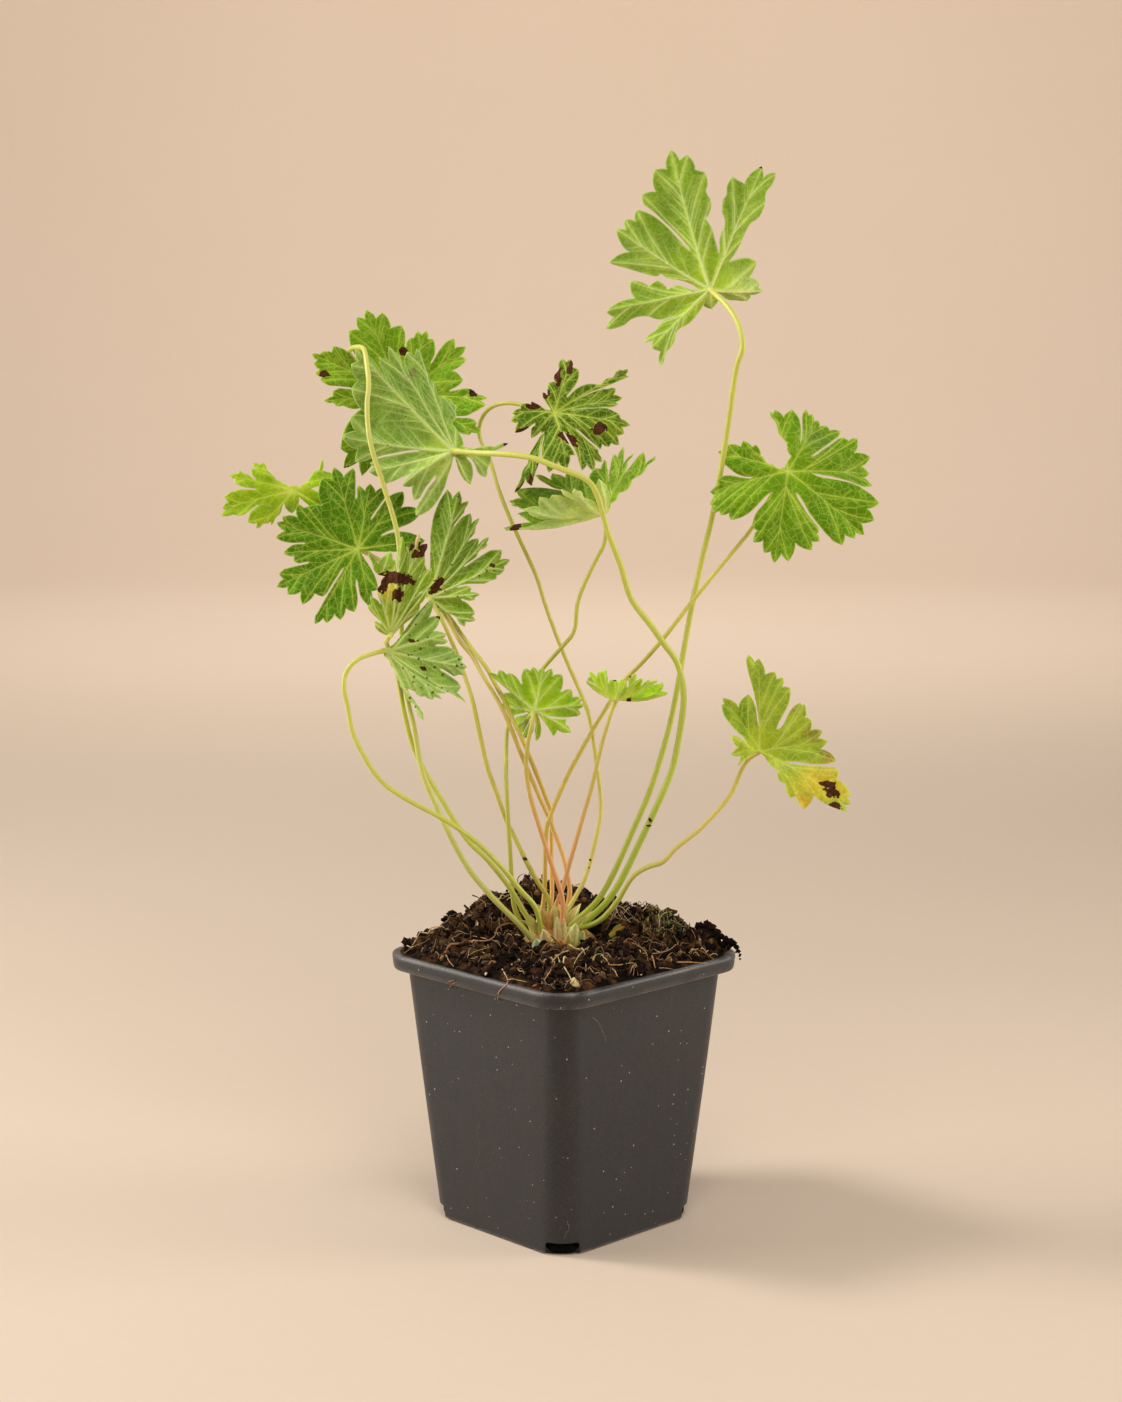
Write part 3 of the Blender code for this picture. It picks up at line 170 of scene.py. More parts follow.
# Blades: the stalk's end (pixel and depth), then the lobes
LEAVES = {
    "leaf_01": dict(at=(710, 290, -5), lobes=[
        lobe(652, 348, -15, before=((681, 326), (669, 346), (660, 363)), after=((644, 339),
             (658, 323)), sinus=(675, 314)),
        lobe(606, 311, -6, before=((648, 314), (606, 325)), after=((630, 279), (657, 278),
             (680, 284)), sinus=(700, 289)),
        lobe(616, 229, 4, before=((672, 278), (642, 275), (609, 260)), after=((625, 218),
             (637, 208)), bow=1.5, sinus=(690, 250)),
        lobe(671, 149, 12, before=((642, 193), (655, 168)), after=((688, 153), (705, 170),
             (711, 197), (712, 226)), bow=2, sinus=(719, 252)),
        lobe(762, 166, 15, before=((725, 226), (722, 199), (733, 175)), after=((780, 172),
             (769, 201), (746, 240)), sinus=(734, 262)),
        lobe(763, 291, 21, before=((761, 263), (761, 284)), after=((749, 305),), bow=2),
        lobe(712, 309, 17)]),
    "leaf_02": dict(at=(788, 471, -12), lobes=[
        lobe(718, 452, -9, before=((777, 468), (765, 461), (756, 447), (743, 443), (728, 446)),
             after=((720, 459),), sinus=(753, 480)),
        lobe(710, 492, -14, before=((718, 480),), after=((710, 505), (713, 513), (721, 516),
             (731, 521)), sinus=(772, 493)),
        lobe(774, 563, -21, before=((752, 527), (753, 543), (764, 553)), after=((788, 562),
             (811, 551), (819, 542), (818, 532)), sinus=(796, 494)),
        lobe(864, 535, -17, before=((841, 546), (854, 539)), after=((872, 522), (877, 505)),
             sinus=(812, 474)),
        lobe(869, 474, -8, before=((871, 487),), after=((868, 460), (855, 442), (842, 441)),
             sinus=(811, 458)),
        lobe(818, 422, -2, before=((839, 434), (826, 428)), after=((811, 417), (804, 413)),
             sinus=(800, 443)),
        lobe(775, 410, -3, before=((791, 412),), after=((769, 413), (777, 430), (786, 443),
             (790, 456)))]),
    "leaf_03": dict(at=(402, 396, 37), lobes=[
        lobe(481, 434, 19, before=((470, 437),), after=((477, 424),), sinus=(452, 420)),
        lobe(487, 398, 30, before=((486, 409),), after=((475, 393),), sinus=(450, 392)),
        lobe(466, 347, 41, before=((464, 383), (467, 361)), after=((454, 340),), sinus=(431, 364)),
        lobe(427, 331, 42, before=((433, 340),), after=((418, 332), (410, 339)), sinus=(405, 348)),
        lobe(366, 310, 40, before=((401, 327), (382, 314)), after=((357, 318), (349, 332)),
             sinus=(364, 368)),
        lobe(312, 354, 37, before=((334, 347), (322, 352)), after=((314, 364), (316, 374),
             (321, 381)), sinus=(352, 389)),
        lobe(324, 401, 34, before=((333, 392),), after=((336, 406), (346, 407)), sinus=(362, 408)),
        lobe(344, 468, 32, before=((341, 449),), after=((362, 476),))]),
    "leaf_04": dict(at=(454, 452, 5), lobes=[
        lobe(416, 516, -1, sinus=(436, 476)),
        lobe(402, 486, 1, before=((414, 500),), after=((410, 470),), bow=-2, sinus=(434, 465)),
        lobe(369, 472, 5, before=((384, 486),), after=((370, 462),), sinus=(420, 448)),
        lobe(341, 437, 9, before=((355, 459),), after=((350, 416),), bow=1.5, sinus=(372, 418)),
        lobe(355, 348, 13, before=((351, 388), (351, 364)), bow=2, sinus=(375, 364)),
        lobe(389, 346, 17, before=((381, 355),), after=((398, 352),), bow=2, sinus=(407, 368)),
        lobe(417, 348, 22, before=((409, 350),), after=((428, 369), (437, 379)), bow=2,
             sinus=(444, 413)),
        lobe(456, 404, 24, before=((447, 390), (452, 396)), after=((456, 414), (453, 424)),
             sinus=(463, 447)),
        lobe(508, 443, 0, before=((475, 449), (490, 446)), after=((486, 465), (484, 476)), bow=0),
        lobe(470, 484, -1, bow=0)]),
    "leaf_05": dict(at=(294, 490, 16), lobes=[
        lobe(252, 463, 17, before=((288, 486), (276, 480), (268, 472), (263, 464)),
             after=((250, 471),), sinus=(256, 481)),
        lobe(229, 476, 11, before=((246, 475), (239, 472)), after=((234, 483),), sinus=(256, 490)),
        lobe(222, 508, 6, before=((224, 498),), after=((221, 517), (238, 517)), sinus=(258, 506)),
        lobe(256, 528, 7, before=((247, 523),), after=((265, 523), (270, 524), (276, 516)),
             sinus=(280, 506)),
        lobe(292, 513, 17),
        lobe(332, 514, 24),
        lobe(323, 460, 28, before=((334, 480),), after=((317, 471), (308, 481), (300, 487)))]),
    "leaf_06": dict(at=(358, 549, 8), lobes=[
        lobe(424, 541, 22),
        lobe(402, 492, 22, before=((418, 512),), sinus=(370, 520)),
        lobe(370, 484, 16, before=((384, 488),), after=((357, 487),), sinus=(355, 500)),
        lobe(334, 467, 13, before=((351, 470),), after=((322, 479),), sinus=(322, 506)),
        lobe(277, 523, 9, before=((308, 507), (298, 505), (283, 517)), after=((277, 537),),
             sinus=(306, 543)),
        lobe(283, 553, 8, after=((295, 563),), sinus=(310, 563)),
        lobe(277, 587, 4, before=((280, 575),), after=((288, 595), (303, 605), (323, 597)),
             sinus=(344, 568)),
        lobe(315, 624, 1, after=((327, 623), (341, 620), (355, 612)), sinus=(357, 580)),
        lobe(370, 607, 2, after=((378, 590),))]),
    "leaf_07": dict(at=(430, 598, 2), lobes=[
        lobe(406, 546, 8, bow=0),
        lobe(459, 491, 9, before=((446, 489),), after=((468, 501), (464, 512)), sinus=(453, 522)),
        lobe(479, 518, 7, before=((470, 513),), after=((475, 529),), sinus=(462, 538)),
        lobe(489, 537, 4, before=((476, 537),), after=((487, 545), (478, 552)), sinus=(462, 565)),
        lobe(509, 559, -1, before=((500, 549),), after=((503, 568), (494, 578)), sinus=(452, 579)),
        lobe(479, 594, -4, before=((470, 586),), after=((474, 599),), sinus=(461, 599)),
        lobe(464, 626, -6, before=((472, 612), (473, 619)), after=((450, 614),))]),
    "leaf_08": dict(at=(391, 635, -20), lobes=[
        lobe(376, 625, -23, after=((372, 617),), sinus=(376, 615)),
        lobe(369, 605, -25, after=((372, 596),), sinus=(377, 592)),
        lobe(367, 552, -17, before=((378, 588), (384, 576), (373, 566)), after=((388, 550),
             (395, 560)), bow=-2, sinus=(395, 572)),
        lobe(402, 536, -18, before=((396, 550),), after=((407, 550),), bow=-2, sinus=(407, 566)),
        lobe(419, 533, -18, before=((411, 543),), after=((427, 543), (424, 556)), bow=-2,
             sinus=(421, 572)),
        lobe(431, 568, -22, after=((432, 580),), bow=-1, sinus=(424, 584)),
        lobe(428, 590, -26, after=((417, 610),))]),
    "leaf_09": dict(at=(385, 651, -14), lobes=[
        lobe(446, 634, -9, before=((428, 594), (433, 600), (440, 616)), after=((448, 641),),
             sinus=(440, 644)),
        lobe(467, 667, -12, before=((455, 650), (463, 657)), after=((464, 674), (457, 675)),
             sinus=(440, 668)),
        lobe(466, 702, -17, before=((461, 686),), sinus=(440, 678)),
        lobe(442, 697, -22, before=((447, 692),), after=((432, 698), (420, 695), (411, 689)),
             bow=1.5, sinus=(403, 684)),
        lobe(423, 719, -26, after=((410, 702), (403, 689), (396, 674), (389, 661)))]),
    "leaf_10": dict(at=(554, 413, -2), lobes=[
        lobe(512, 413, -6, before=((541, 403), (532, 402), (520, 406)), after=((511, 422),
             (516, 434)), sinus=(535, 424)),
        lobe(531, 438, -9, after=((544, 434),), sinus=(545, 432)),
        lobe(515, 493, -12, before=((534, 438), (529, 456), (522, 477)), after=((534, 487),
             (541, 470), (542, 450)), bow=2, sinus=(545, 436)),
        lobe(566, 470, -15, before=((545, 460), (550, 473)), after=((576, 456),), bow=3,
             sinus=(563, 432)),
        lobe(602, 462, -9, before=((573, 456), (580, 471), (592, 472)), after=((598, 450),), bow=2,
             sinus=(572, 432)),
        lobe(630, 425, -7, before=((600, 450), (609, 447), (619, 445), (624, 434)),
             after=((619, 416),), sinus=(570, 411)),
        lobe(622, 399, 3, before=((618, 407),), after=((615, 391), (603, 390)), sinus=(572, 400)),
        lobe(628, 370, 11, before=((606, 387), (618, 385), (628, 378)), after=((620, 370),
             (610, 378), (597, 385)), sinus=(566, 398)),
        lobe(571, 360, 8, before=((578, 371),), after=((563, 360), (556, 376), (549, 386)),
             sinus=(547, 395)),
        lobe(543, 393, 1)]),
    "leaf_11": dict(at=(603, 513, -2), lobes=[
        lobe(656, 456, -3, before=((612, 504), (621, 495), (634, 482), (647, 468)),
             after=((648, 454),), bow=-2, sinus=(622, 484)),
        lobe(624, 447, 17, before=((631, 464), (637, 456)), after=((617, 456), (611, 473)), bow=-2,
             sinus=(606, 484)),
        lobe(605, 460, 24, before=((609, 470),), after=((596, 470),), bow=-3, sinus=(590, 486)),
        lobe(552, 474, 23, before=((583, 483), (570, 473)), after=((535, 480),), bow=-2,
             sinus=(570, 494)),
        lobe(509, 501, 8, before=((515, 493),), after=((511, 507), (519, 511)), bow=-2,
             sinus=(556, 508)),
        lobe(503, 528, -14, before=((517, 517),), after=((530, 532),), bow=-2, sinus=(580, 515)),
        lobe(523, 510, -18, before=((530, 516),), after=((540, 501), (553, 499)), bow=-2,
             sinus=(567, 500)),
        lobe(574, 489, -22, before=((562, 493),), after=((580, 491), (586, 499)), bow=-3),
        lobe(599, 479, -22, bow=-3)]),
    "leaf_12": dict(at=(534.5, 711, -14), lobes=[
        lobe(536, 741, -8),
        lobe(525, 738, -4, after=((519, 741),)),
        lobe(513, 730, 1, before=((520, 733),), after=((510, 722),)),
        lobe(500, 707, 7, before=((505, 712),), after=((500, 698),), sinus=(517, 701)),
        lobe(487, 672, -12, before=((496, 686),), after=((499, 671), (510, 674)),
             sinus=(522, 684)),
        lobe(542, 667, -12, before=((525, 669), (533, 667)), after=((551, 669), (561, 676)),
             sinus=(560, 692)),
        lobe(584, 705, -15, before=((570, 690), (582, 698)), after=((580, 713),),
             sinus=(547, 716)),
        lobe(571, 732, -18, before=((566, 718),), after=((551, 736),))]),
    "leaf_13": dict(at=(616.5, 699, -17), lobes=[
        lobe(668, 693, -8, before=((660, 697),), after=((664, 688),), bow=-1),
        lobe(640, 686, 2, bow=-1),
        lobe(604, 684, 3, bow=-1),
        lobe(586, 681, -5, bow=-1),
        lobe(588, 671, -17, before=((593, 690), (585, 686)), after=((596, 673), (605, 672),
             (610, 681)), bow=-1, sinus=(611, 687)),
        lobe(622, 678, -31, before=((614, 682),), after=((628, 683),), bow=-2, sinus=(628, 688)),
        lobe(637, 674, -28, before=((631, 678),), after=((643, 679),), bow=-2, sinus=(642, 688)),
        lobe(658, 680, -19, before=((651, 681),), after=((660, 684),), bow=-1)]),
    "leaf_14": dict(at=(760, 751, -20), lobes=[
        lobe(850, 805, -36, before=((764, 769), (777, 783), (789, 801), (804, 812), (846, 813)),
             after=((850, 796), (838, 773)), bow=2, sinus=(786, 762)),
        lobe(828, 742, -22, before=((842, 765),), after=((822, 732), (811, 722), (804, 706),
             (798, 703)), sinus=(773, 727)),
        lobe(759, 659, -8, before=((790, 690), (783, 680), (775, 674)), after=((748, 656),),
             sinus=(764, 727)),
        lobe(723, 698, -14, before=((748, 695),), after=((722, 706),), sinus=(745, 744)),
        lobe(731, 755, -25, before=((731, 739),), after=((740, 768), (751, 769)), bow=2)]),
}

# Stalks: where each stands on the crown (mm across and deep), its end radius, and its route
STALKS = {
    "stem_01": dict(foot=(5.2, 2.8), thick=1.9, route=((603, 894, 1), (633, 830, -1),
        (651, 788, -2), (668, 732, -3), (677, 691, -3), (681, 666, -3), (687, 633, -3),
        (693, 600, -3), (703, 555, -5), (713, 513, -8), (726, 440, -14), (736, 369, -20),
        (743, 348, -22), (739, 326, -20), (728, 307, -14), (716, 295, -8))),
    "stem_02": dict(foot=(-7.0, 4.5), thick=1.5, route=((544, 900, 4), (545, 862, 2),
        (546, 832, 0), (551, 814, -1), (567, 777, 0), (587, 740, 2), (610, 702, 7), (626, 679, 8),
        (643, 662, 2), (663, 639, -7), (691, 603, -9), (721, 566, -9), (751, 530, -9),
        (768, 500, -8), (780, 482, -8))),
    "stem_03": dict(foot=(-9.5, -5.5), thick=1.8, route=((515, 920, -8), (491, 896, -10),
        (463, 861, -12), (433, 799, -14), (421, 767, -14), (414, 727, -12.4), (409, 708, -10.6),
        (404, 680, -7), (401, 620, -5), (400, 580, -5), (398, 535, -5), (383, 484, -4),
        (370, 442, -3), (367, 406, -1), (369, 385, 1), (367, 366, 5), (364, 349, 12),
        (356, 347, 24), (351, 349, 33), (349, 353, 41), (357, 362, 47), (378, 380, 48))),
    "stem_04": dict(foot=(7.3, -1.0), thick=2.1, route=((612, 896, -3), (640, 842, -5),
        (664, 790, -8), (675, 759, -9), (683, 710, -12), (683, 686, -13), (677, 662, -14),
        (664, 644, -15), (650, 624, -15), (631, 599, -16), (621, 566, -18), (608, 533, -20),
        (602, 510, -21), (596, 492, -22), (586, 479, -22), (559, 468, -20), (533, 458, -17),
        (503, 454, -12), (480, 453, -6))),
    "stem_05": dict(foot=(-4.2, 6.0), thick=1.5, route=((552, 900, 8), (551, 852, 9),
        (551, 814, 9), (547, 801, 8), (540, 783, 4), (531, 760, -2), (523, 741, -7),
        (511, 716, -7), (504, 700, -6), (498, 689, -4), (492, 678, -3), (486, 667, -3),
        (466, 641, 0), (451, 619, 5), (438, 604, 15), (415, 585, 28), (380, 562, 36),
        (340, 530, 36), (310, 503, 27))),
    "stem_06": dict(foot=(1.5, 4.5), thick=1.5, route=((570, 895, 4), (567, 872, 4), (561, 850, 5),
        (553, 829, 5), (547, 814, 5), (538, 794, 3), (531, 778, 1), (523, 759, -2), (507, 719, -7),
        (493, 692, -5), (483, 676, -4), (472, 656, -1), (459, 640, 0), (444, 614, 4),
        (428, 596, 10), (405, 576, 16), (380, 560, 16))),
    "stem_07": dict(foot=(-3.2, 1.8), thick=1.6, route=((549, 900, 1), (537, 881, 0),
        (525, 859, -1), (512, 832, 0), (504, 815, 0), (496, 791, -1), (488, 770, -2),
        (479, 731, -4), (473, 703, -4), (464, 674, -1), (455, 650, 0), (444, 624, -3))),
    "stem_08": dict(foot=(-7.8, -2.2), thick=1.7, route=((524, 912, -4), (510, 888, -5),
        (487, 859, -8), (466, 839, -9), (440, 797, -9), (424, 770, -10), (412, 744, -9),
        (404, 712, -9), (400, 690, -8), (396, 668, -7), (391, 655, -7), (388, 647, -8),
        (386, 641, -13), (387, 641, -20), (389, 637, -27))),
    "stem_09": dict(foot=(-5.5, -6.5), thick=1.7, route=((536, 908, -10), (521, 891, -12),
        (505, 871, -14), (480, 845, -17), (447, 821, -20), (406, 799, -23), (378, 778, -24),
        (354, 737, -24), (348, 708, -23), (344, 690, -23), (345, 675, -22), (353, 663, -21),
        (365, 656, -19))),
    "stem_10": dict(foot=(0.3, -1.0), thick=1.5, route=((577, 894, 0), (587, 872, 1),
        (598, 830, 3), (601, 805, 4), (599, 781, 4), (595, 753, 4), (590, 720, 7), (582, 696, 8),
        (562, 650, 8), (545, 604, 7), (536, 575, 7), (516, 532, 9), (499, 491, 13), (491, 463, 18),
        (483, 446, 21), (479, 434, 22), (481, 420, 20), (490, 408, 15), (505, 403, 10),
        (522, 405, 7), (538, 409, 4))),
    "stem_11": dict(foot=(-11.0, 0.5), thick=1.5, route=((515, 910, 0), (512, 888, -1),
        (510, 852, -3), (508, 822, -4), (506, 770, -2), (508, 725, 8), (523, 695, 10),
        (545, 666, 6), (562, 647, 2), (575, 630, 0), (578, 600, -1), (595, 562, -2),
        (604, 545, -3), (606, 528, -3))),
    "stem_12": dict(foot=(1.0, -6.0), thick=1.6, route=((563, 900, -7), (553, 869, -8),
        (542, 835, -9), (534, 810, -10), (529, 790, -11), (526, 766, -13), (528, 742, -16),
        (532, 724, -17))),
    "stem_13": dict(foot=(-4.0, -2.5), thick=1.5, route=((561, 893, -3), (569, 865, -4),
        (583, 817, -7), (592, 786, -10), (598, 760, -13), (603, 740, -15), (611, 713, -18))),
    "stem_14": dict(foot=(4.8, -4.5), thick=1.7, route=((588, 926, -7), (603, 918, -9),
        (619, 899, -12), (633, 876, -15), (650, 866, -16), (663, 862, -17), (677, 847, -18),
        (700, 829, -18), (730, 796, -18), (741, 771, -17), (750, 758, -16))),
}

# Veins: half width in mm, its narrowing to the tip, strength, and its fading to the tip
MAIN_VEIN = (0.37, 0.22, 1.0, 0.35)
SIDE_VEIN = (0.2, 0.0, 0.85, 0.3)
FAINT_VEIN = (0.16, 0.0, 0.5, 0.35)

# How many lines or points are measured at a time
BLOCK = 400
RIM_BLOCK = 60

# How fine the blades are, in mm, and how far their relief goes
LEAF_STEP = 0.6
EDGE_LONG = 16
EDGE_SHORT = 5
VEIN_STEP = 0.45
VEIN_HALF = 0.28
VEIN_CELL = 0.2
KEEL = 0.31
HIGHEST_KEEL = 1.6
PUCKER = 0.42
VEIN_SINK = 0.2
EDGE_CURL = 0.5
LEAF_GLOW_DEPTH = 0.6 * MM
# How much paler and yellower the blades are painted near the stalk's end: a painted glow of light
# shining through
HUB_PAINTED_GLOW = (0.4, 0.22, 0.0)
VEIN_ABOVE = srgb(218, 234, 106)
VEIN_BELOW = srgb(216, 230, 152)
LEAF_GLOSS = 0.16
LEAF_GLOSS_TINT = (0.95, 1.0, 0.25, 1.0)
LEAF_DOT = srgb(62, 58, 28)
SPOT_HALO = srgb(176, 158, 52)
SPOT_BROWNS = (srgb(60, 30, 22), srgb(92, 48, 34))
SPOT_EDGE = srgb(44, 22, 16)


def blade_look(upper, under, dots=0.0, patches=(), spots=()):
    """A blade's colours above and below, its dots, soft patches and dead spots.

    A patch or spot is an ellipse in the picture: middle, two radii and its turn in degrees. A patch
    adds its colour and strength.
    """
    return dict(upper=upper, under=under, dots=dots, patches=patches, spots=spots)


LEAF_LOOKS = {
    "leaf_01": blade_look((126, 159, 39), (148, 177, 55),
        patches=[(748, 288, 26, 26, 0, (186, 204, 132), 0.8),
        (664, 225, 30, 18, 40, (118, 154, 34), 0.6), (660, 290, 36, 12, 0, (120, 154, 36), 0.5),
        (640, 250, 30, 22, 20, (174, 196, 110), 0.4)], spots=[(762, 166, 3, 3, 0)]),
    # leaf_02's two bluish grey patches are a painted sheen
    "leaf_02": blade_look((104, 151, 5), (137, 170, 53),
        patches=[(815, 440, 26, 14, 25, (122, 152, 92), 0.5),
        (850, 470, 16, 14, 0, (130, 158, 84), 0.4)]),
    "leaf_03": blade_look((116, 158, 14), (147, 174, 75),
        patches=[(402, 360, 14, 12, 0, (170, 180, 60), 0.5),
        (440, 392, 16, 10, 0, (160, 176, 60), 0.4)], spots=[(324, 374, 6, 3.2, 15),
        (475, 392, 6, 4.5, -20), (486, 409, 4, 2.5, 0), (404, 352, 6, 3.5, 35),
        (344, 469, 6, 3, -15)]),
    "leaf_04": blade_look((105, 147, 22), (142, 173, 81), dots=0.16,
        patches=[(412, 373, 5, 9, 30, (110, 84, 70), 0.7),
        (435, 447, 22, 8, 0, (170, 196, 80), 0.5)], spots=[(507, 444, 4, 3, 30)]),
    "leaf_05": blade_look((156, 189, 22), (172, 197, 67),
        patches=[(292, 488, 22, 12, 0, (186, 198, 104), 0.7),
        (286, 508, 10, 6, 0, (148, 168, 112), 0.7)]),
    "leaf_06": blade_look((80, 134, 3), (133, 171, 53),
        patches=[(384, 502, 22, 16, 30, (100, 134, 50), 0.5)]),
    "leaf_07": blade_look((104, 139, 16), (121, 151, 30), dots=0.3,
        patches=[(434, 588, 13, 12, 20, (170, 156, 40), 0.8)], spots=[(437, 586, 9.5, 5, -50),
        (493, 566, 3.4, 2, 20)]),
    "leaf_08": blade_look((126, 170, 16), (142, 170, 38), dots=0.2,
        patches=[(387, 591, 16, 12, 0, (216, 190, 40), 1.0),
        (418, 541, 10, 11, 0, (206, 156, 126), 1.0)], spots=[(410.5, 545, 4, 8, 20),
        (423.5, 549, 5, 9, -8), (417, 554.5, 6, 4, 0), (397, 578.5, 17, 6, 8),
        (383.5, 583, 6, 10, 28), (398, 595, 5, 7, 10), (366, 553, 2, 4, 20)]),
    "leaf_09": blade_look((118, 157, 34), (151, 183, 92), dots=0.36,
        spots=[(438, 614, 2.4, 5.5, -20), (411.5, 641, 3.4, 2, 0),
        (424, 668.5, 3.4, 2.4, 20)]),
    "leaf_10": blade_look((66, 104, 4), (104, 134, 44),
        patches=[(612, 430, 14, 12, 0, (150, 166, 40), 0.4),
        (575, 400, 60, 5, -8, (120, 150, 30), 0.3)], spots=[(557, 375, 3, 9, 32),
        (559, 381, 3, 5, 10), (545, 394, 4.4, 6, -15), (570.5, 368, 3, 7.5, 10),
        (533, 405, 7.4, 4, 8), (524, 431, 9, 3.6, -20), (598.7, 428.4, 7, 6.6, 0),
        (568, 438.5, 12.5, 4.4, 32), (525, 486, 7, 4.5, -30), (519, 492, 5, 4, 0),
        (531, 478, 2.2, 5, 0), (539, 470, 2.4, 8, 0)]),
    # leaf_11's underside is painted paler than its own colour, a painted light against the shade it
    # faces into
    "leaf_11": blade_look((112, 150, 22), (204, 230, 152),
        patches=[(536, 490, 22, 10, -10, (84, 124, 22), 0.6)], spots=[(516, 527, 6, 3, -35)]),
    "leaf_12": blade_look((140, 180, 21), (152, 189, 23),
        patches=[(526, 723, 5, 7, 0, (140, 160, 104), 0.6)]),
    "leaf_13": blade_look((176, 217, 32), (183, 221, 38), spots=[(629, 699, 2.4, 1.8, 0),
        (615, 679.5, 2.6, 1.6, 0), (630, 675.5, 2, 1.6, 0)]),
    "leaf_14": blade_look((162, 180, 62), (192, 200, 100),
        patches=[(718, 708, 20, 16, 60, (92, 140, 24), 0.75),
        (744, 718, 10, 26, 0, (84, 132, 20), 0.7), (826, 784, 46, 30, -8, (232, 196, 74), 1.0),
        (806, 804, 18, 12, 30, (222, 168, 62), 0.9), (830, 756, 18, 10, 35, (152, 118, 66), 0.85),
        (812, 734, 14, 12, 50, (156, 136, 74), 0.7), (792, 708, 10, 9, 50, (140, 132, 66), 0.6),
        (712, 752, 12, 8, 0, (136, 136, 74), 0.6), (784, 766, 16, 6, 15, (186, 190, 110), 0.6)],
        spots=[(829, 784.5, 9, 3.6, 0), (831.5, 793, 7.5, 4.6, 20),
        (835, 806, 7, 3.4, 10), (769.5, 671, 1.8, 1.8, 0)]),
}

# Stalks: colour at the foot, colour at the blade, and the share of the length where it turns
STALK_SINK = 5 * MM
STALK_PLAIN = ((190, 198, 84), (208, 211, 98), 0.3)
STALK_LOOKS = {
    "stem_01": ((178, 192, 72), (208, 211, 98), 0.35),
    "stem_04": ((172, 192, 64), (208, 211, 98), 0.35),
    "stem_02": ((216, 180, 90), (214, 206, 100), 0.3),
    "stem_12": ((228, 160, 104), (204, 198, 90), 0.62),
    "stem_13": ((230, 164, 112), (216, 208, 110), 0.52),
    "stem_06": ((234, 172, 106), (216, 200, 110), 0.24),
    "stem_05": ((232, 168, 98), (214, 212, 100), 0.22),
    "stem_10": ((222, 208, 118), (200, 198, 88), 0.5),
    "stem_11": ((188, 188, 84), (204, 204, 94), 0.5),
    "stem_07": ((190, 184, 88), (210, 202, 100), 0.3),
    "stem_03": ((204, 206, 112), (214, 214, 110), 0.4),
    "stem_14": ((172, 184, 66), (216, 202, 112), 0.35),
}
STALK_CRUMBS = {
    "stem_04": ((633, 812, 0.8), (636, 820, 0.6)),
    "stem_10": ((590, 858, 0.6), (588, 866, 0.4)),
    "stem_07": ((525, 860, 0.8),),
    "stem_08": ((420, 767, 0.5),),
}

# The pot's finish
POT_WAVE = 0.25 * MM
WAVE_SCALE = 38
SCUFF_SCALE = 300
POT_COLOUR = srgb(29, 30, 33)
POT_WORN = srgb(96, 93, 90)
POT_SPECK = srgb(204, 200, 194)
POT_PIT = srgb(18, 17, 16)
SKIRT_HEIGHT = POT_HEIGHT - RIM_SKIRT
WALL_HEIGHTS = (1.5, 3, 4.2, 5, 7, 10, 14, 20, 28, 36, 44, 52, 60, 68, 76, 82)
INNER_HEIGHTS = (88, 84, 60, 30, 3)
# The pot's section: a start out from the wall's line, a base height, and places in mm from both,
# each with its wear
POT_ROWS = (
    (0.0, 0.0, ((-2.5, 0.0, 0.0), (-1.3, 0.0, 0.0), (-1.0, 0.45, 0.0), (-0.3, 0.45, 0.7),
                (-0.06, 0.6, 1.0), (0.0, 0.95, 0.3))),
    (0.0, 0.0, [(0.0, z, 0.0) for z in WALL_HEIGHTS]),
    (0.0, SKIRT_HEIGHT, ((0.0, -1.0, 0.0), (0.12, -0.1, 0.0), (0.15, 1.5, 0.0))),
    (0.0, POT_HEIGHT, ((0.3, -1.6, 0.0),)),
    (RIM_LEDGE, POT_HEIGHT, ((-1.3, -1.6, 0.0),)),
    (RIM_LEDGE, SKIRT_HEIGHT, ((-1.15, 0.5, 0.1), (-0.95, 0.08, 0.6), (-0.6, 0.0, 1.0),
                               (-0.25, 0.12, 0.9), (-0.1, 0.45, 0.3), (-0.08, 2.2, 0.0))),
    (RIM_LEDGE, POT_HEIGHT, ((-0.06, -1.5, 0.05), (-0.1, -0.8, 0.3), (-0.35, -0.25, 0.7),
                             (-0.8, -0.02, 0.75), (-1.6, -0.05, 0.45))),
    (0.0, POT_HEIGHT, ((1.4, -0.3, 0.3), (0.2, -0.5, 0.3), (-0.6, -1.0, 0.3), (-1.0, -1.8, 0.1))),
    (-WALL, 0.0, [(0.0, z, 0.0) for z in INNER_HEIGHTS]),
    (-WALL, 0.0, ((-1.0, 1.3, 0.0),)),
    (0.0, WALL, ((-6.0, 0.0, 0.0),)),
)
NOTCH_ROUND = 1.0 * MM
NOTCH_DEPTH = 3.2 * MM
# Near black: a painted shade for the notches' cut faces and for the floor corners seen in them
NOTCH_PAINTED_SHADE = (0.004, 0.004, 0.004)
BULGE_SIZE = (4.2, 5.2, 2.1)
BULGE_INSET = 4.9 * MM
BULGE_HEIGHT = 2.5 * MM

# The peat: its bumps in mm, as middle, widths and height, its loose crumbs and fibres
MOUND_REACH = 50 * MM
MIDDLE_RISE = 4.0
PILE_RISE = 2.4
PILE_POWER = 7
BACK_BUMP = (-8, 24, 24, 18, 13)
LEFT_BUMP = (-36, 8, 18, 15, 3.5)
RIGHT_BUMP = (34, 14, 20, 13, 7.5)
SEAT_DIP = (-2, -0.5, 14, 14, 6.4)
WARP_SCALE = 160
WARP_REACH = 0.0025
LUMP_SCALES = (120, 330, 760)
LUMP_HEIGHTS = (2.7, 7.2, 1.5)
SOIL_STEP = 0.62
SOIL_HALF = 56
BODY_HEIGHTS = (88, 60, 40, 20, 3.5, 2.2)
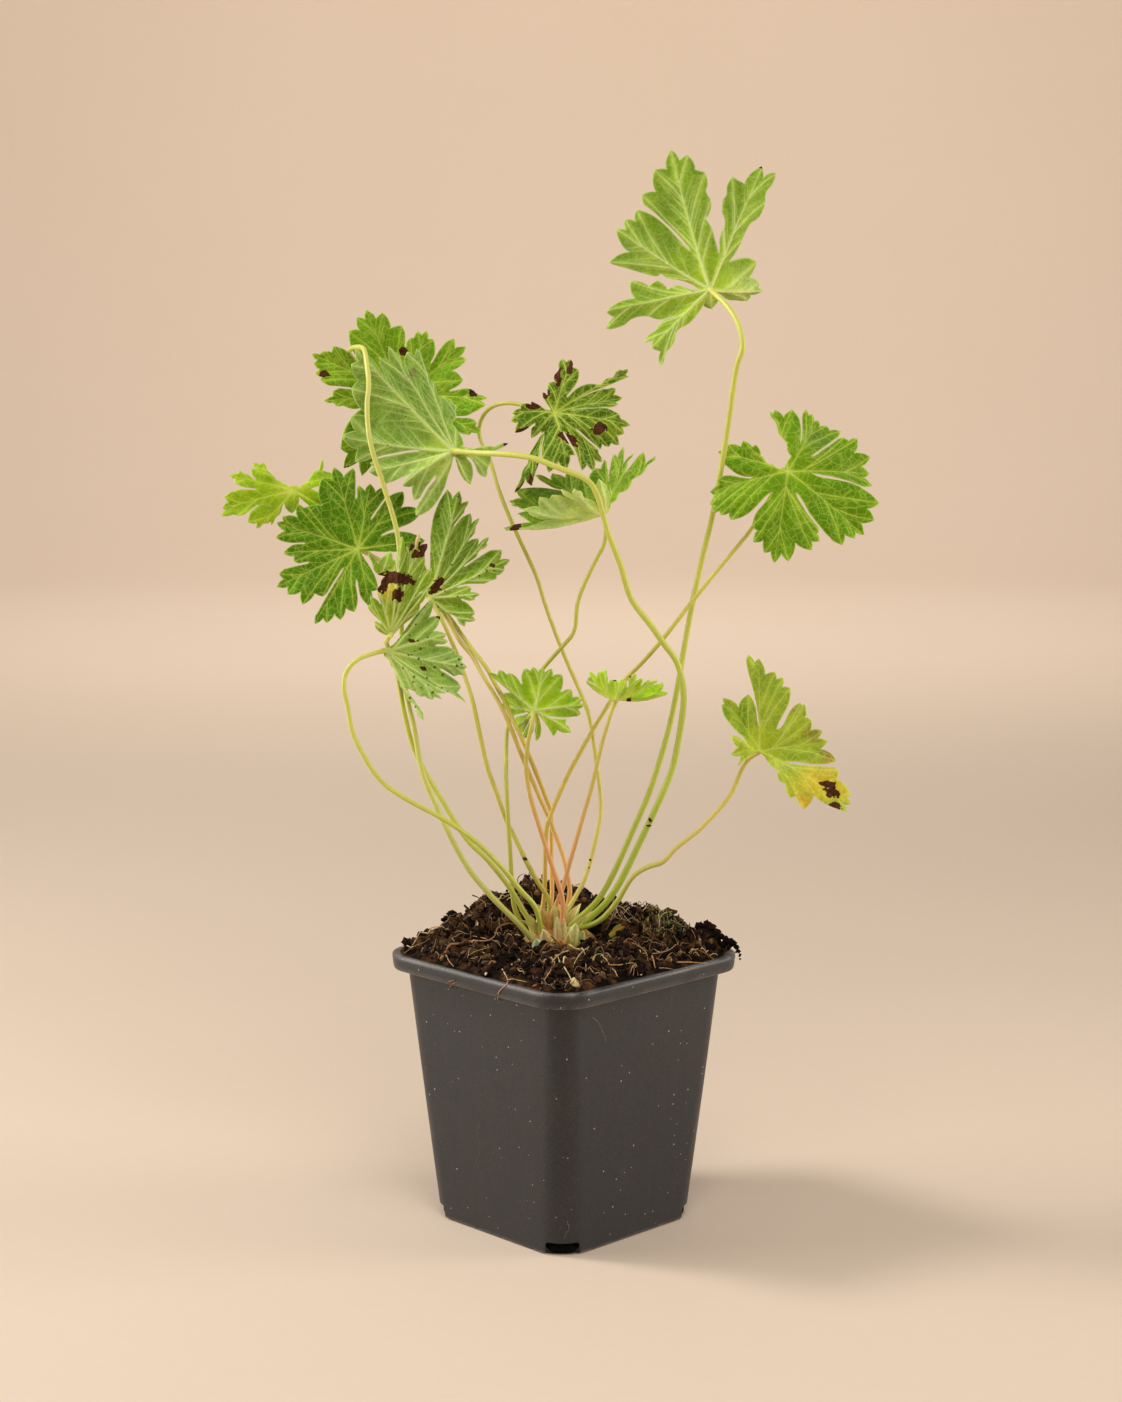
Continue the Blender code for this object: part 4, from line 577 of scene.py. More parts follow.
# Points on each corner and each side of the peat's edge, and the height of a triangle of side 1
EDGE_POINTS = (14, 60)
TRIANGLE_RISE = 0.866
CRUMBS = 1900
CRUMB_SIZES = (0.3, 0.4, 0.55, 0.75, 1.0, 1.35)
FINE_CRUMB = 0.9 * MM
PEAT_DARK = srgb(20, 11, 6)
PEAT_PALE = srgb(104, 69, 39)
CRUMB_COLOURS = (srgb(84, 58, 38), srgb(112, 80, 50), srgb(66, 46, 32), srgb(170, 134, 90),
                 srgb(92, 62, 42))
RIM_CRUMBS = ((700, 926, 6, 2.2), (706, 925, 5, 1.8), (711, 928, 4, 2.0), (716, 932, 3, 1.7),
              (720, 936, 2, 1.9), (725, 938, 1, 1.4), (729, 941, 0, 1.6), (733, 943, -1, 1.2),
              (736, 947, -2, 1.1), (738, 951, -3, 0.9), (740, 955, -4, 0.7), (740, 959, -4, 0.5),
              (724, 944, 1, 1.8), (716, 940, 3, 2.2), (708, 934, 4, 2.4), (729, 947, -1, 1.3),
              (594, 899, 34, 1.2))
RIM_CLODS = 190
SPILL = 2.0 * MM
EDGE_RISE = 1.4
FIBRES = 500
FIBRE_STRETCHES = (0.7, 1.0, 1.0, 2.1)
FIBRE_RADII = (0.06, 0.08, 0.1, 0.13, 0.18)
FIBRE_SHADES = (0.35, 0.55, 0.8, 1.05, 1.3)
FIBRE_COLOURS = ((228, 202, 158), (212, 182, 132), (172, 134, 88), (146, 108, 66), (118, 82, 50),
                 (196, 164, 116), (98, 66, 42), (158, 118, 74))

# Named roots: colour, radius and lift in mm, and the picture's pixels that they pass
ROOTS = (
    ((206, 178, 112), 0.33, 0.8, ((569, 946), (575, 950), (579, 951), (566, 953), (558, 957),
     (552, 963))),
    ((196, 160, 108), 0.2, 0.3, ((552, 963), (551, 970), (546, 978), (541, 985))),
    ((226, 208, 156), 0.28, 0.5, ((559, 962), (564, 968), (569, 976), (572, 983))),
    ((176, 132, 84), 0.3, 0.6, ((445, 954), (450, 946), (458, 945), (471, 942), (486, 942),
     (494, 938), (498, 929), (507, 925), (516, 925))),
    ((196, 160, 110), 0.16, 0.5, ((473, 937), (483, 939), (492, 941), (498, 944), (501, 948))),
    ((150, 116, 74), 0.14, 0.5, ((454, 934), (460, 932), (467, 935), (474, 933))),
    ((170, 150, 70), 0.13, 0.5, ((468, 957), (474, 953), (480, 951), (487, 949), (492, 947))),
    ((196, 176, 96), 0.16, 0.5, ((507, 981), (513, 980), (517, 981), (522, 982), (527, 983))),
    ((214, 200, 168), 0.14, 0.6, ((616, 904), (617, 912), (619, 916), (622, 920))),
    ((206, 188, 150), 0.15, 0.6, ((621, 912), (625, 918), (631, 924))),
    ((216, 200, 164), 0.14, 0.6, ((643, 912), (646, 908), (648, 905))),
    ((176, 186, 120), 0.15, 0.8, ((659, 921), (664, 915), (672, 913), (682, 915), (685, 918))),
    ((208, 160, 116), 0.16, 0.5, ((633, 966), (631, 971), (629, 976))),
    ((208, 160, 116), 0.14, 0.6, ((633, 966), (634, 971), (633, 977))),
    ((200, 150, 108), 0.14, 0.6, ((634, 966), (637, 971), (638, 977))),
    ((190, 150, 104), 0.16, 0.5, ((659, 969), (665, 969), (671, 970), (676, 971))),
    ((170, 130, 84), 0.15, 0.5, ((628, 939), (634, 942), (638, 947))),
    ((186, 140, 96), 0.14, 0.2, ((448, 984), (453, 984), (457, 982))),
    ((176, 130, 90), 0.12, 0.2, ((450, 987), (453, 984), (455, 980))),
    ((166, 122, 84), 0.12, 0.2, ((449, 981), (453, 984), (456, 988))),
    ((184, 148, 100), 0.22, 0.6, ((446, 956), (449, 962), (454, 968))),
    ((222, 198, 160), 0.2, 0.5, ((502, 970), (505, 975), (508, 981))),
    ((200, 166, 134), 0.18, 0.4, ((508, 982), (506, 986), (501, 990), (498, 995), (498, 1001),
     (500, 1003))),
    ((200, 176, 124), 0.2, 0.5, ((589, 948), (582, 953), (576, 961), (573, 968))),
    ((188, 152, 100), 0.2, 0.6, ((608, 966), (620, 966), (632, 964), (636, 967))),
    ((176, 138, 88), 0.2, 0.8, ((643, 955), (655, 955), (668, 952), (676, 946))),
    ((190, 140, 84), 0.26, 0.4, ((677, 963), (690, 963), (702, 964), (708, 964))),
    ((178, 140, 92), 0.2, 0.6, ((632, 944), (640, 948), (646, 954), (648, 962))),
    ((162, 120, 76), 0.18, 0.6, ((696, 950), (706, 955), (714, 961))),
    ((152, 112, 70), 0.2, 0.8, ((404, 955), (414, 948), (424, 944), (430, 940))),
    ((150, 108, 66), 0.16, 0.3, ((452, 986), (448, 983), (455, 981), (450, 989), (456, 988))),
    ((178, 170, 92), 0.26, 0.5, ((592, 962), (596, 956), (603, 955), (608, 957))),
    ((150, 146, 142), 0.06, 0.0, ((592, 1017), (598, 1022), (602, 1030), (605, 1037),
     (606, 1042))),
    ((140, 136, 132), 0.06, 0.0, ((567, 1221), (569, 1228), (566, 1234), (564, 1239))),
    ((116, 112, 108), 0.06, 0.0, ((479, 1122), (478, 1136), (480, 1150), (477, 1160),
     (478, 1170))),
)
ROOT_KNOBS = (((226, 206, 150), 1.5, 575, 986), ((216, 196, 140), 1.0, 573, 982),
              ((236, 222, 196), 0.5, 486, 975), ((226, 212, 186), 0.5, 519, 961),
              ((220, 200, 170), 0.45, 512, 966), ((206, 112, 62), 0.7, 535, 987),
              ((210, 190, 150), 0.45, 700, 941), ((226, 210, 176), 0.4, 641, 976))
# Twigs that stand clear of the peat: colour, radius and depth in mm, and the pixels that they pass
TWIGS = (
    ((74, 52, 36), 0.42, 13, ((464, 905), (471, 912), (480, 921), (490, 927))),
    ((112, 80, 52), 0.18, 13, ((457, 923), (464, 917), (473, 912), (480, 905), (485, 902))),
    ((64, 46, 34), 0.22, 22, ((472, 895), (479, 898), (484, 903))),
    ((52, 38, 30), 0.26, 14, ((452, 914), (454, 919), (457, 926))),
    ((70, 52, 40), 0.14, 24, ((518, 884), (518, 878), (521, 875), (525, 874), (530, 877),
     (532, 880), (532, 886))),
    ((60, 42, 28), 0.2, -13, ((551, 936), (556, 941), (561, 946), (566, 950))),
)

# Moss on the right of the mound, as short sprigs
MOSS_SPRIGS = 120
MOSS_MIDDLE = (664, 921)
MOSS_REACH = (30, 17)
MOSS_COLOURS = ((118, 118, 52), (96, 92, 40), (140, 142, 74), (82, 74, 40))

# Crown scales: foot across and deep on the crown in mm, turn and lean, length, width, and colours
# low and high
SCALE_SINK = 1.5 * MM
HEART_BROWN = srgb(150, 96, 42)
HEART_STRAW = srgb(196, 164, 84)
PAPER = ((200, 152, 66), (236, 222, 138))
PALE = ((214, 204, 104), (240, 236, 152))
RUST = ((176, 118, 48), (222, 190, 104))
SCALES = (
    (-6.5, -6.0, -2.1, 0.5, 7.0, 5.0, PAPER),
    (7.0, -4.5, -0.6, 0.5, 8.0, 5.0, PALE),
    (8.5, 0.0, 0.1, 0.5, 8.0, 5.0, PAPER),
    (5.5, 4.5, 0.8, 0.4, 8.5, 5.0, PALE),
    (0.0, 5.5, 1.5, 0.3, 8.0, 5.0, PAPER),
    (-5.0, 4.5, 2.2, 0.4, 8.0, 5.0, RUST),
    (-9.0, 0.0, 3.0, 0.5, 8.0, 5.0, PAPER),
    (-9.0, -3.5, -2.6, 0.6, 7.0, 5.0, PALE),
    (-1.0, -3.0, -1.9, 0.15, 9.0, 4.0, PALE),
    (2.5, -3.2, -1.0, 0.12, 9.5, 4.0, PAPER),
    (-4.5, -3.0, -2.4, 0.2, 8.5, 4.5, RUST),
)

# Scales and bits of leaf that the picture shows: foot, tip, depth and width in mm, and colours low
# and high
MINT = ((186, 212, 168), (196, 218, 180))
FRONT_SCALES = (
    ((571, 949), (576, 922), -10.5, 4.8, ((212, 206, 104), (236, 240, 170))),
    ((566, 953), (569, 933), -11.5, 3.6, ((196, 140, 60), (232, 220, 130))),
    ((559, 950), (557, 915), -8.5, 3.4, ((214, 176, 96), (244, 236, 176))),
    ((563, 950), (564, 917), -8.0, 2.8, ((216, 182, 100), (244, 234, 172))),
    ((550, 953), (543, 928), -10.5, 4.8, ((204, 150, 70), (238, 220, 160))),
    ((555, 956), (553, 938), -12.0, 4.0, ((178, 118, 50), (232, 200, 120))),
    ((561, 957), (561, 938), -12.4, 3.6, ((160, 92, 40), (222, 152, 88))),
    ((547, 957), (545, 943), -12.0, 3.4, ((150, 104, 48), (216, 190, 112))),
    ((577, 948), (584, 930), -9.5, 3.4, ((184, 184, 84), (226, 230, 144))),
    ((541, 957), (536, 938), -15.5, 5.0, MINT),
    ((583, 928), (589, 914), 2.0, 2.4, ((90, 96, 40), (136, 142, 66))),
    ((610, 937), (625, 926), -4.0, 2.6, ((190, 182, 52), (172, 120, 56))),
    ((612, 934), (621, 924), -3.0, 2.0, ((150, 156, 52), (196, 180, 70))),
    ((606, 963), (610, 955), -16.0, 1.2, ((160, 168, 70), (190, 196, 96))),
)

# The stage
FLOOR_COLOUR = srgb(221, 202, 182)
FLOOR_RADIUS = 2.4
FLOOR_RINGS = (0.3, 0.8, FLOOR_RADIUS)
FLOOR_SIDES = 96
SWEEP_RADIUS = 0.9
SWEEP_STEPS = 12
WALL_RISE = 0.8
WIDE, NARROW = math.pi, math.radians(90)
# Lamps: place, target, size, watts, colour and spread. The two low ones at the sides leave the
# pot's near corner darker.
LAMPS = (
    ("key", (-0.95, 0.15, 1.1), (0, 0, 0.15), 0.35, 9, (1.0, 0.97, 0.92), WIDE),
    ("front", (0.2, -0.9, 1.2), (0, 0, 0.2), 1.0, 9.5, (1.0, 0.97, 0.93), WIDE),
    ("left", (-1.25, 0.0, 0.35), (0, 0, 0.14), 0.7, 2.15, (1.0, 0.98, 0.96), NARROW),
    ("right", (1.25, 0.0, 0.35), (0, 0, 0.14), 0.7, 2.2, (1.0, 0.95, 0.88), NARROW),
    ("wall", (0.0, 1.7, 1.5), (0, 3.1, 0.2), 1.8, 24, (1.0, 0.96, 0.91), WIDE),
)
WORLD_COLOUR = (1.0, 0.965, 0.92, 1.0)
WORLD_STRENGTH = 0.3


# Pieces: meshes, and how each joins the frame
def new_object(name, data):
    obj = bpy.data.objects.new(name, data)
    bpy.context.scene.collection.objects.link(obj)
    return obj


def new_mesh(name, vertices, faces, mats=()):
    mesh = bpy.data.meshes.new(name)
    mesh.from_pydata(np.asarray(vertices).tolist(), [], faces)
    for mat in mats:
        mesh.materials.append(mat)
    if mats:
        mesh.shade_smooth()
    return new_object(name, mesh)


def mesh_piece(name, vertices, faces, mats, node_names=()):
    """A new piece that rides on the one body, in the place of those CAD nodes."""
    obj = new_mesh(name, vertices, faces, mats)
    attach(obj, "root")
    if node_names:
        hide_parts(*node_names)
    return obj


def ring_pairs(start, sides):
    """Each vertex of a closed ring with the one that follows it."""
    return [(start + k, start + (k + 1) % sides) for k in range(sides)]


def bands(count, sides, start=0, flip=False):
    """The faces of that many bands between closed rings of vertices, each with that many sides."""
    faces = []
    for r in range(count):
        for a, b in ring_pairs(start + r * sides, sides):
            faces.append((a, a + sides, b + sides, b) if flip else (a, b, b + sides, a + sides))
    return faces


def on_ball(polar, around):
    """A point on a ball of radius 1."""
    across = math.sin(polar)
    return Vector((across * math.cos(around), across * math.sin(around), math.cos(polar)))


def set_float(obj, name, values):
    attribute = obj.data.attributes.new(name, "FLOAT", "POINT")
    attribute.data.foreach_set("value", np.asarray(values, np.float32))


def set_vector(obj, name, values):
    attribute = obj.data.attributes.new(name, "FLOAT_VECTOR", "POINT")
    attribute.data.foreach_set("vector", np.asarray(values, np.float32).ravel())


def set_colour(obj, name, values):
    values = np.asarray(values, np.float32)
    rgba = np.concatenate([values, np.ones((len(values), 1), np.float32)], axis=1)
    attribute = obj.data.color_attributes.new(name, "FLOAT_COLOR", "POINT")
    attribute.data.foreach_set("color", rgba.ravel())


class Batch:
    """Many small shapes gathered into one mesh, each vertex with a colour of its own."""

    def __init__(self):
        self.vertices = []
        self.faces = []
        self.tints = []
        self.count = 0

    def add(self, vertices, faces, tint):
        vertices = np.asarray(vertices, float)
        tint = np.asarray(tint, float)
        if tint.ndim == 1:
            tint = np.tile(tint, (len(vertices), 1))
        self.vertices.append(vertices)
        self.tints.append(tint)
        self.faces += [tuple(k + self.count for k in face) for face in faces]
        self.count += len(vertices)

    def piece(self, name, mats, node_names=()):
        obj = mesh_piece(name, np.concatenate(self.vertices), self.faces, mats, node_names)
        set_colour(obj, "Tint", np.concatenate(self.tints))
        return obj


def tube(points, radii, sides):
    """A closed tube along the points, with its own radius at each."""
    points = np.asarray(points, float)
    ahead = unit(np.gradient(points, axis=0))
    side = np.cross(ahead[0], [0.0, 0.0, 1.0])
    if np.linalg.norm(side) < UPRIGHT:
        side = np.array([1.0, 0.0, 0.0])
    rings = []
    turns = np.arange(sides) * 2 * math.pi / sides
    c, s = np.cos(turns)[:, None], np.sin(turns)[:, None]
    for point, along, radius in zip(points, ahead, radii):
        side = unit(side - along * (side @ along))
        rings.append(point + radius * (c * side + s * np.cross(along, side)))
    vertices = np.concatenate(rings + [points[:1], points[-1:]])
    faces = bands(len(points) - 1, sides)
    first, last = len(points) * sides, len(points) * sides + 1
    for (a, b), (c, d) in zip(ring_pairs(0, sides), ring_pairs(first - sides, sides)):
        faces += [(b, a, first), (c, d, last)]
    return vertices, faces


# Materials
class Look:
    """A material being built: its nodes and the links between them."""

    def __init__(self, name, roughness):
        self.mat = bpy.data.materials.new(name)
        self.mat.use_nodes = True
        self.tree = self.mat.node_tree
        self.shader = self.tree.nodes["Principled BSDF"]
        self.shader.inputs["Roughness"].default_value = roughness

    def node(self, kind, inputs, **settings):
        """A new node with its settings, and its inputs linked or set."""
        made = self.tree.nodes.new(kind)
        for key, value in settings.items():
            setattr(made, key, value)
        for key, value in inputs.items():
            self.link(value, made.inputs[key])
        return made

    def link(self, source, target):
        if isinstance(source, (int, float)):
            target.default_value = source
        elif isinstance(source, tuple):
            target.default_value = (*source, 1.0)
        else:
            self.tree.links.new(source, target)

    def attribute(self, name, output="Fac"):
        return self.node("ShaderNodeAttribute", {}, attribute_name=name).outputs[output]

    def position(self):
        return self.node("ShaderNodeTexCoord", {}).outputs["Object"]

    def noise(self, where, scale, detail=3, rough=0.55):
        inputs = {"Vector": where, "Scale": scale, "Detail": detail, "Roughness": rough}
        return self.node("ShaderNodeTexNoise", inputs).outputs["Fac"]

    def cells(self, where, scale, feature="F1"):
        return self.node("ShaderNodeTexVoronoi", {"Vector": where, "Scale": scale}, feature=feature)

    def stretch(self, where, factors):
        made = self.node("ShaderNodeMapping", {"Vector": where})
        made.inputs["Scale"].default_value = factors
        return made.outputs["Vector"]

    def maths(self, operation, a, b):
        return self.node("ShaderNodeMath", {0: a, 1: b}, operation=operation).outputs[0]

    def band(self, value, low, high, out_low=0.0, out_high=1.0):
        """Maps value from low..high to out_low..out_high, held at the ends."""
        inputs = {"Value": value, "From Min": low, "From Max": high, "To Min": out_low,
                  "To Max": out_high}
        made = self.node("ShaderNodeMapRange", inputs, interpolation_type="SMOOTHSTEP")
        return made.outputs["Result"]

    def mix(self, share, a, b, blend="MIX"):
        inputs = {"Factor": share, "A": a, "B": b}
        made = self.node("ShaderNodeMix", inputs, data_type="RGBA", blend_type=blend)
        return made.outputs["Result"]

    def darken(self, share, colour, by):
        """The colour multiplied by another where share is 1, and as it was where it is 0."""
        return self.mix(share, colour, by, "MULTIPLY")

    def speckle(self, cells, size, low, high=0.0):
        """1 in a spot of that size at each cell's middle, fading from low to high past its edge."""
        past = self.maths("SUBTRACT", cells.outputs["Distance"], size)
        return self.band(past, low, high, 1.0, 0.0)

    def bump(self, height, distance, strength):
        inputs = {"Height": height, "Distance": distance, "Strength": strength}
        return self.node("ShaderNodeBump", inputs).outputs["Normal"]

    def finish(self, colour, normal, roughness=None):
        self.link(colour, self.shader.inputs["Base Color"])
        self.link(normal, self.shader.inputs["Normal"])
        if roughness is not None:
            self.link(roughness, self.shader.inputs["Roughness"])
        return self.mat


def glow(look, weight, radius):
    """Light that passes a little way into living tissue."""
    look.shader.inputs["Subsurface Weight"].default_value = weight
    look.shader.inputs["Subsurface Radius"].default_value = radius
    look.shader.inputs["Subsurface Scale"].default_value = LEAF_GLOW_DEPTH


def leaf_material(name, tint_name, vein_share, net_share, roughness, vein_colour, relief):
    """One side of the blades: tissue, veins and the net between them, edge, dots and dead spots."""
    look = Look(name, roughness)
    flat = look.attribute("Flat", "Vector")
    tint = look.attribute(tint_name, "Color")
    vein = look.attribute("Vein")
    rim = look.attribute("Rim")
    broad = look.noise(flat, 0.12)
    fine = look.noise(flat, 0.9, 4)
    between = look.attribute("Between")
    colour = look.darken(look.band(broad, 0.38, 0.62, 0.0, 0.7), tint, (1.42, 1.32, 1.15))
    colour = look.darken(look.band(fine, 0.35, 0.7, 0.0, 0.55), colour, (0.62, 0.72, 0.45))
    colour = look.darken(look.maths("MULTIPLY", between, 0.75), colour, (0.58, 0.72, 0.34))
    net = look.cells(flat, 0.4, "DISTANCE_TO_EDGE").outputs["Distance"]
    net = look.band(net, 0.02, 0.08, 1.0, 0.0)
    small = look.cells(flat, 1.1, "DISTANCE_TO_EDGE").outputs["Distance"]
    small = look.band(small, 0.02, 0.12, 0.4, 0.0)
    lines = look.maths("MAXIMUM", net, small)
    colour = look.mix(look.maths("MULTIPLY", lines, net_share), colour, vein_colour)
    colour = look.mix(look.maths("MULTIPLY", vein, vein_share), colour, vein_colour)
    colour = look.mix(look.band(rim, 0.1, 0.45, 0.35, 0.0), colour, vein_colour)
    dots = look.cells(flat, 0.42)
    reach = look.maths("MULTIPLY", look.attribute("Dots"), look.noise(flat, 0.55, 1))
    dot = look.speckle(dots, reach, -0.03, 0.02)
    colour = look.mix(look.maths("MULTIPLY", dot, 0.8), colour, LEAF_DOT)
    ragged = look.band(look.noise(flat, 0.5, 2), 0.3, 0.7, -0.3, 0.3)
    spot = look.maths("ADD", look.attribute("Spot"), ragged)
    halo = look.band(spot, -0.32, -0.02)
    colour = look.mix(look.maths("MULTIPLY", halo, 0.35), colour, SPOT_HALO)
    dead = look.mix(look.band(fine, 0.35, 0.65), SPOT_BROWNS[0], SPOT_BROWNS[1])
    dead = look.mix(look.band(spot, 0.05, 0.22), SPOT_EDGE, dead)
    colour = look.mix(look.band(spot, -0.04, 0.04), colour, dead)
    net_height = look.maths("MULTIPLY", lines, relief)
    height = look.maths("ADD", net_height, look.maths("MULTIPLY", fine, 0.4))
    glow(look, 0.3, (0.5, 1.0, 0.25))
    look.shader.inputs["Specular IOR Level"].default_value = LEAF_GLOSS
    look.shader.inputs["Specular Tint"].default_value = LEAF_GLOSS_TINT
    rough = look.band(spot, -0.05, 0.05, roughness, 0.8)
    return look.finish(colour, look.bump(height, 0.12 * MM, 0.6), rough)


def stalk_material():
    """Stalks: their own tints, with fine lines along them and soft patches."""
    look = Look("stalk", 0.42)
    where = look.position()
    tint = look.attribute("Tint", "Color")
    # Painted glow: the colour is made paler and yellower towards the blade's base
    lines = look.noise(look.stretch(where, (2600, 2600, 240)), 1.0, 2)
    patches = look.noise(where, 90)
    colour = look.darken(look.band(lines, 0.35, 0.7, 0.0, 0.4), tint, (0.78, 0.82, 0.7))
    colour = look.darken(look.band(patches, 0.4, 0.7, 0.0, 0.35), colour, (1.15, 1.12, 1.0))
    glow(look, 0.25, (0.8, 1.0, 0.3))
    return look.finish(colour, look.bump(lines, 0.08 * MM, 0.5))


def tinted_material(name, roughness, grain, darkest, relief, gloss=0.5):
    """Peat, roots, moss and scales: the piece's own tints, with a grain."""
    look = Look(name, roughness)
    where = look.position()
    tint = look.attribute("Tint", "Color")
    fine = look.noise(where, grain, 5, 0.65)
    colour = look.darken(look.band(fine, 0.3, 0.65, 1.0, 0.0), tint, darkest)
    look.shader.inputs["Specular IOR Level"].default_value = gloss
    return look.finish(colour, look.bump(fine, relief, 0.9))


def pot_material():
    """Recycled black plastic: fine grain, pale and dark specks, faint streaks, paler edges."""
    look = Look("pot_plastic", 0.42)
    where = look.position()
    tint = look.attribute("Tint", "Color")
    grain = look.noise(where, 1900, 3, 0.7)
    cloud = look.noise(where, 45, 4)
    streak = look.noise(look.stretch(where, (420, 420, 14)), 1.0)
    colour = look.darken(look.band(grain, 0.38, 0.62), tint, (2.0, 1.95, 1.9))
    colour = look.darken(look.band(cloud, 0.35, 0.7, 0.0, 0.35), colour, (0.78, 0.77, 0.76))
    colour = look.darken(look.band(streak, 0.45, 0.75, 0.0, 0.3), colour, (1.35, 1.33, 1.3))
    specks = look.cells(where, 420)
    size = look.band(specks.outputs["Color"], 0.4, 0.85, 0.0, 0.13)
    pale = look.speckle(specks, size, -0.06)
    colour = look.mix(look.maths("MULTIPLY", pale, 0.8), colour, POT_SPECK)
    pits = look.cells(look.stretch(where, (1.0, 1.0, 0.8)), 170)
    hollow = look.band(pits.outputs["Color"], 0.6, 0.9, 0.0, 0.14)
    dark = look.speckle(pits, hollow, -0.06)
    colour = look.mix(look.maths("MULTIPLY", dark, 0.8), colour, POT_PIT)
    height = look.maths("ADD", grain, look.maths("MULTIPLY", streak, 0.7))
    height = look.maths("ADD", height, look.maths("MULTIPLY", dark, -3.0))
    rough = look.band(cloud, 0.3, 0.7, 0.36, 0.5)
    return look.finish(colour, look.bump(height, 0.06 * MM, 0.7), rough)


def floor_material():
    look = Look("pale_floor", 0.85)
    where = look.position()
    broad = look.noise(where, 3.0)
    fine = look.noise(where, 160, 4)
    colour = look.darken(look.band(broad, 0.3, 0.7, 0.0, 0.3), FLOOR_COLOUR, (0.97, 0.96, 0.94))
    colour = look.darken(look.band(fine, 0.3, 0.7, 0.0, 0.25), colour, (0.97, 0.96, 0.95))
    return look.finish(colour, look.bump(fine, 0.1 * MM, 0.3))


# Stage: camera, floor and lights
def make_camera():
    data = bpy.data.cameras.new("camera")
    data.sensor_width = SENSOR
    data.lens = FOCAL / PICTURE_HEIGHT * SENSOR
    data.clip_start, data.clip_end = CLIP
    camera = new_object("camera", data)
    camera.location = EYE
    camera.rotation_euler = (math.pi / 2 - PITCH, 0, -YAW)
    bpy.context.scene.camera = camera


def make_floor():
    """A round floor that sweeps up at its far edge, so that no horizon shows."""
    rings = [(radius, 0.0) for radius in FLOOR_RINGS]
    for k in range(1, SWEEP_STEPS + 1):
        a = math.pi / 2 * k / SWEEP_STEPS
        out, up = SWEEP_RADIUS * math.sin(a), SWEEP_RADIUS * (1 - math.cos(a))
        rings.append((FLOOR_RADIUS + out, up))
    rings.append((FLOOR_RADIUS + SWEEP_RADIUS, SWEEP_RADIUS + WALL_RISE))
    vertices = [(0.0, 0.0, 0.0)]
    for radius, z in rings:
        for k in range(FLOOR_SIDES):
            a = 2 * math.pi * k / FLOOR_SIDES
            vertices.append((radius * math.cos(a), radius * math.sin(a), z))
    faces = [(0, a, b) for a, b in ring_pairs(1, FLOOR_SIDES)]
    faces += bands(len(rings) - 1, FLOOR_SIDES, 1, flip=True)
    new_mesh("floor", vertices, faces, [floor_material()])


def make_lights():
    for name, place, target, size, watts, colour, spread in LAMPS:
        data = bpy.data.lights.new(name, "AREA")
        data.shape = "DISK"
        data.size = size
        data.energy = watts
        data.color = colour
        data.spread = spread
        light = new_object(name, data)
        light.location = place
        light.rotation_euler = (Vector(target) - Vector(place)).to_track_quat("-Z", "Y").to_euler()
    world = bpy.data.worlds.new("studio")
    world.use_nodes = True
    background = world.node_tree.nodes["Background"]
    background.inputs["Color"].default_value = WORLD_COLOUR
    background.inputs["Strength"].default_value = WORLD_STRENGTH
    bpy.context.scene.world = world
    bpy.context.scene.view_settings.view_transform = "Standard"


# The pot
def rounded_square(half, radius, z, corner_points=12, side_points=10):
    """A ring of points around a square with round corners, turned as the pot stands."""
    out = (half - radius) * math.sqrt(2)

    def corner_point(start, step):
        """A place on the round corner that begins at that turn, that many steps along."""
        a = start + math.pi / 2 * step / corner_points
        return (out * math.cos(start + math.pi / 4) + radius * math.cos(a),
                out * math.sin(start + math.pi / 4) + radius * math.sin(a))

    points = []
    for quarter in range(4):
        start = POT_TURN + quarter * math.pi / 2
        points += [(*corner_point(start, k), z) for k in range(corner_points + 1)]
        x, y = corner_point(start, corner_points)
        next_x, next_y = corner_point(start + math.pi / 2, 0)
        for k in range(1, side_points):
            share = k / side_points
            points.append((x + (next_x - x) * share, y + (next_y - y) * share, z))
    return points


def wall_half(z):
    """The outer wall's half width at height z."""
    top = RIM_HALF - RIM_LEDGE
    return FOOT_HALF + (top - FOOT_HALF) * z / POT_HEIGHT


def wall_radius(z):
    return FOOT_RADIUS + (RIM_RADIUS - RIM_LEDGE - FOOT_RADIUS) * z / POT_HEIGHT


def loft(rings):
    """A closed skin over equal rings, with an end face at each end."""
    n = len(rings[0])
    faces = bands(len(rings) - 1, n)
    faces.append(tuple(range(n))[::-1])
    faces.append(tuple(range((len(rings) - 1) * n, len(rings) * n)))
    return [v for ring in rings for v in ring], faces


def pot_profile():
    """The pot's wall from the middle of its underside round the rim to its inner floor.

    Each entry is how far it stands out from the outer wall's line, its height, and how pale wear
    has made it.
    """
    rows = []
    for start, base, places in POT_ROWS:
        rows += [(start + out * MM, base + up * MM, pale) for out, up, pale in places]
    return rows


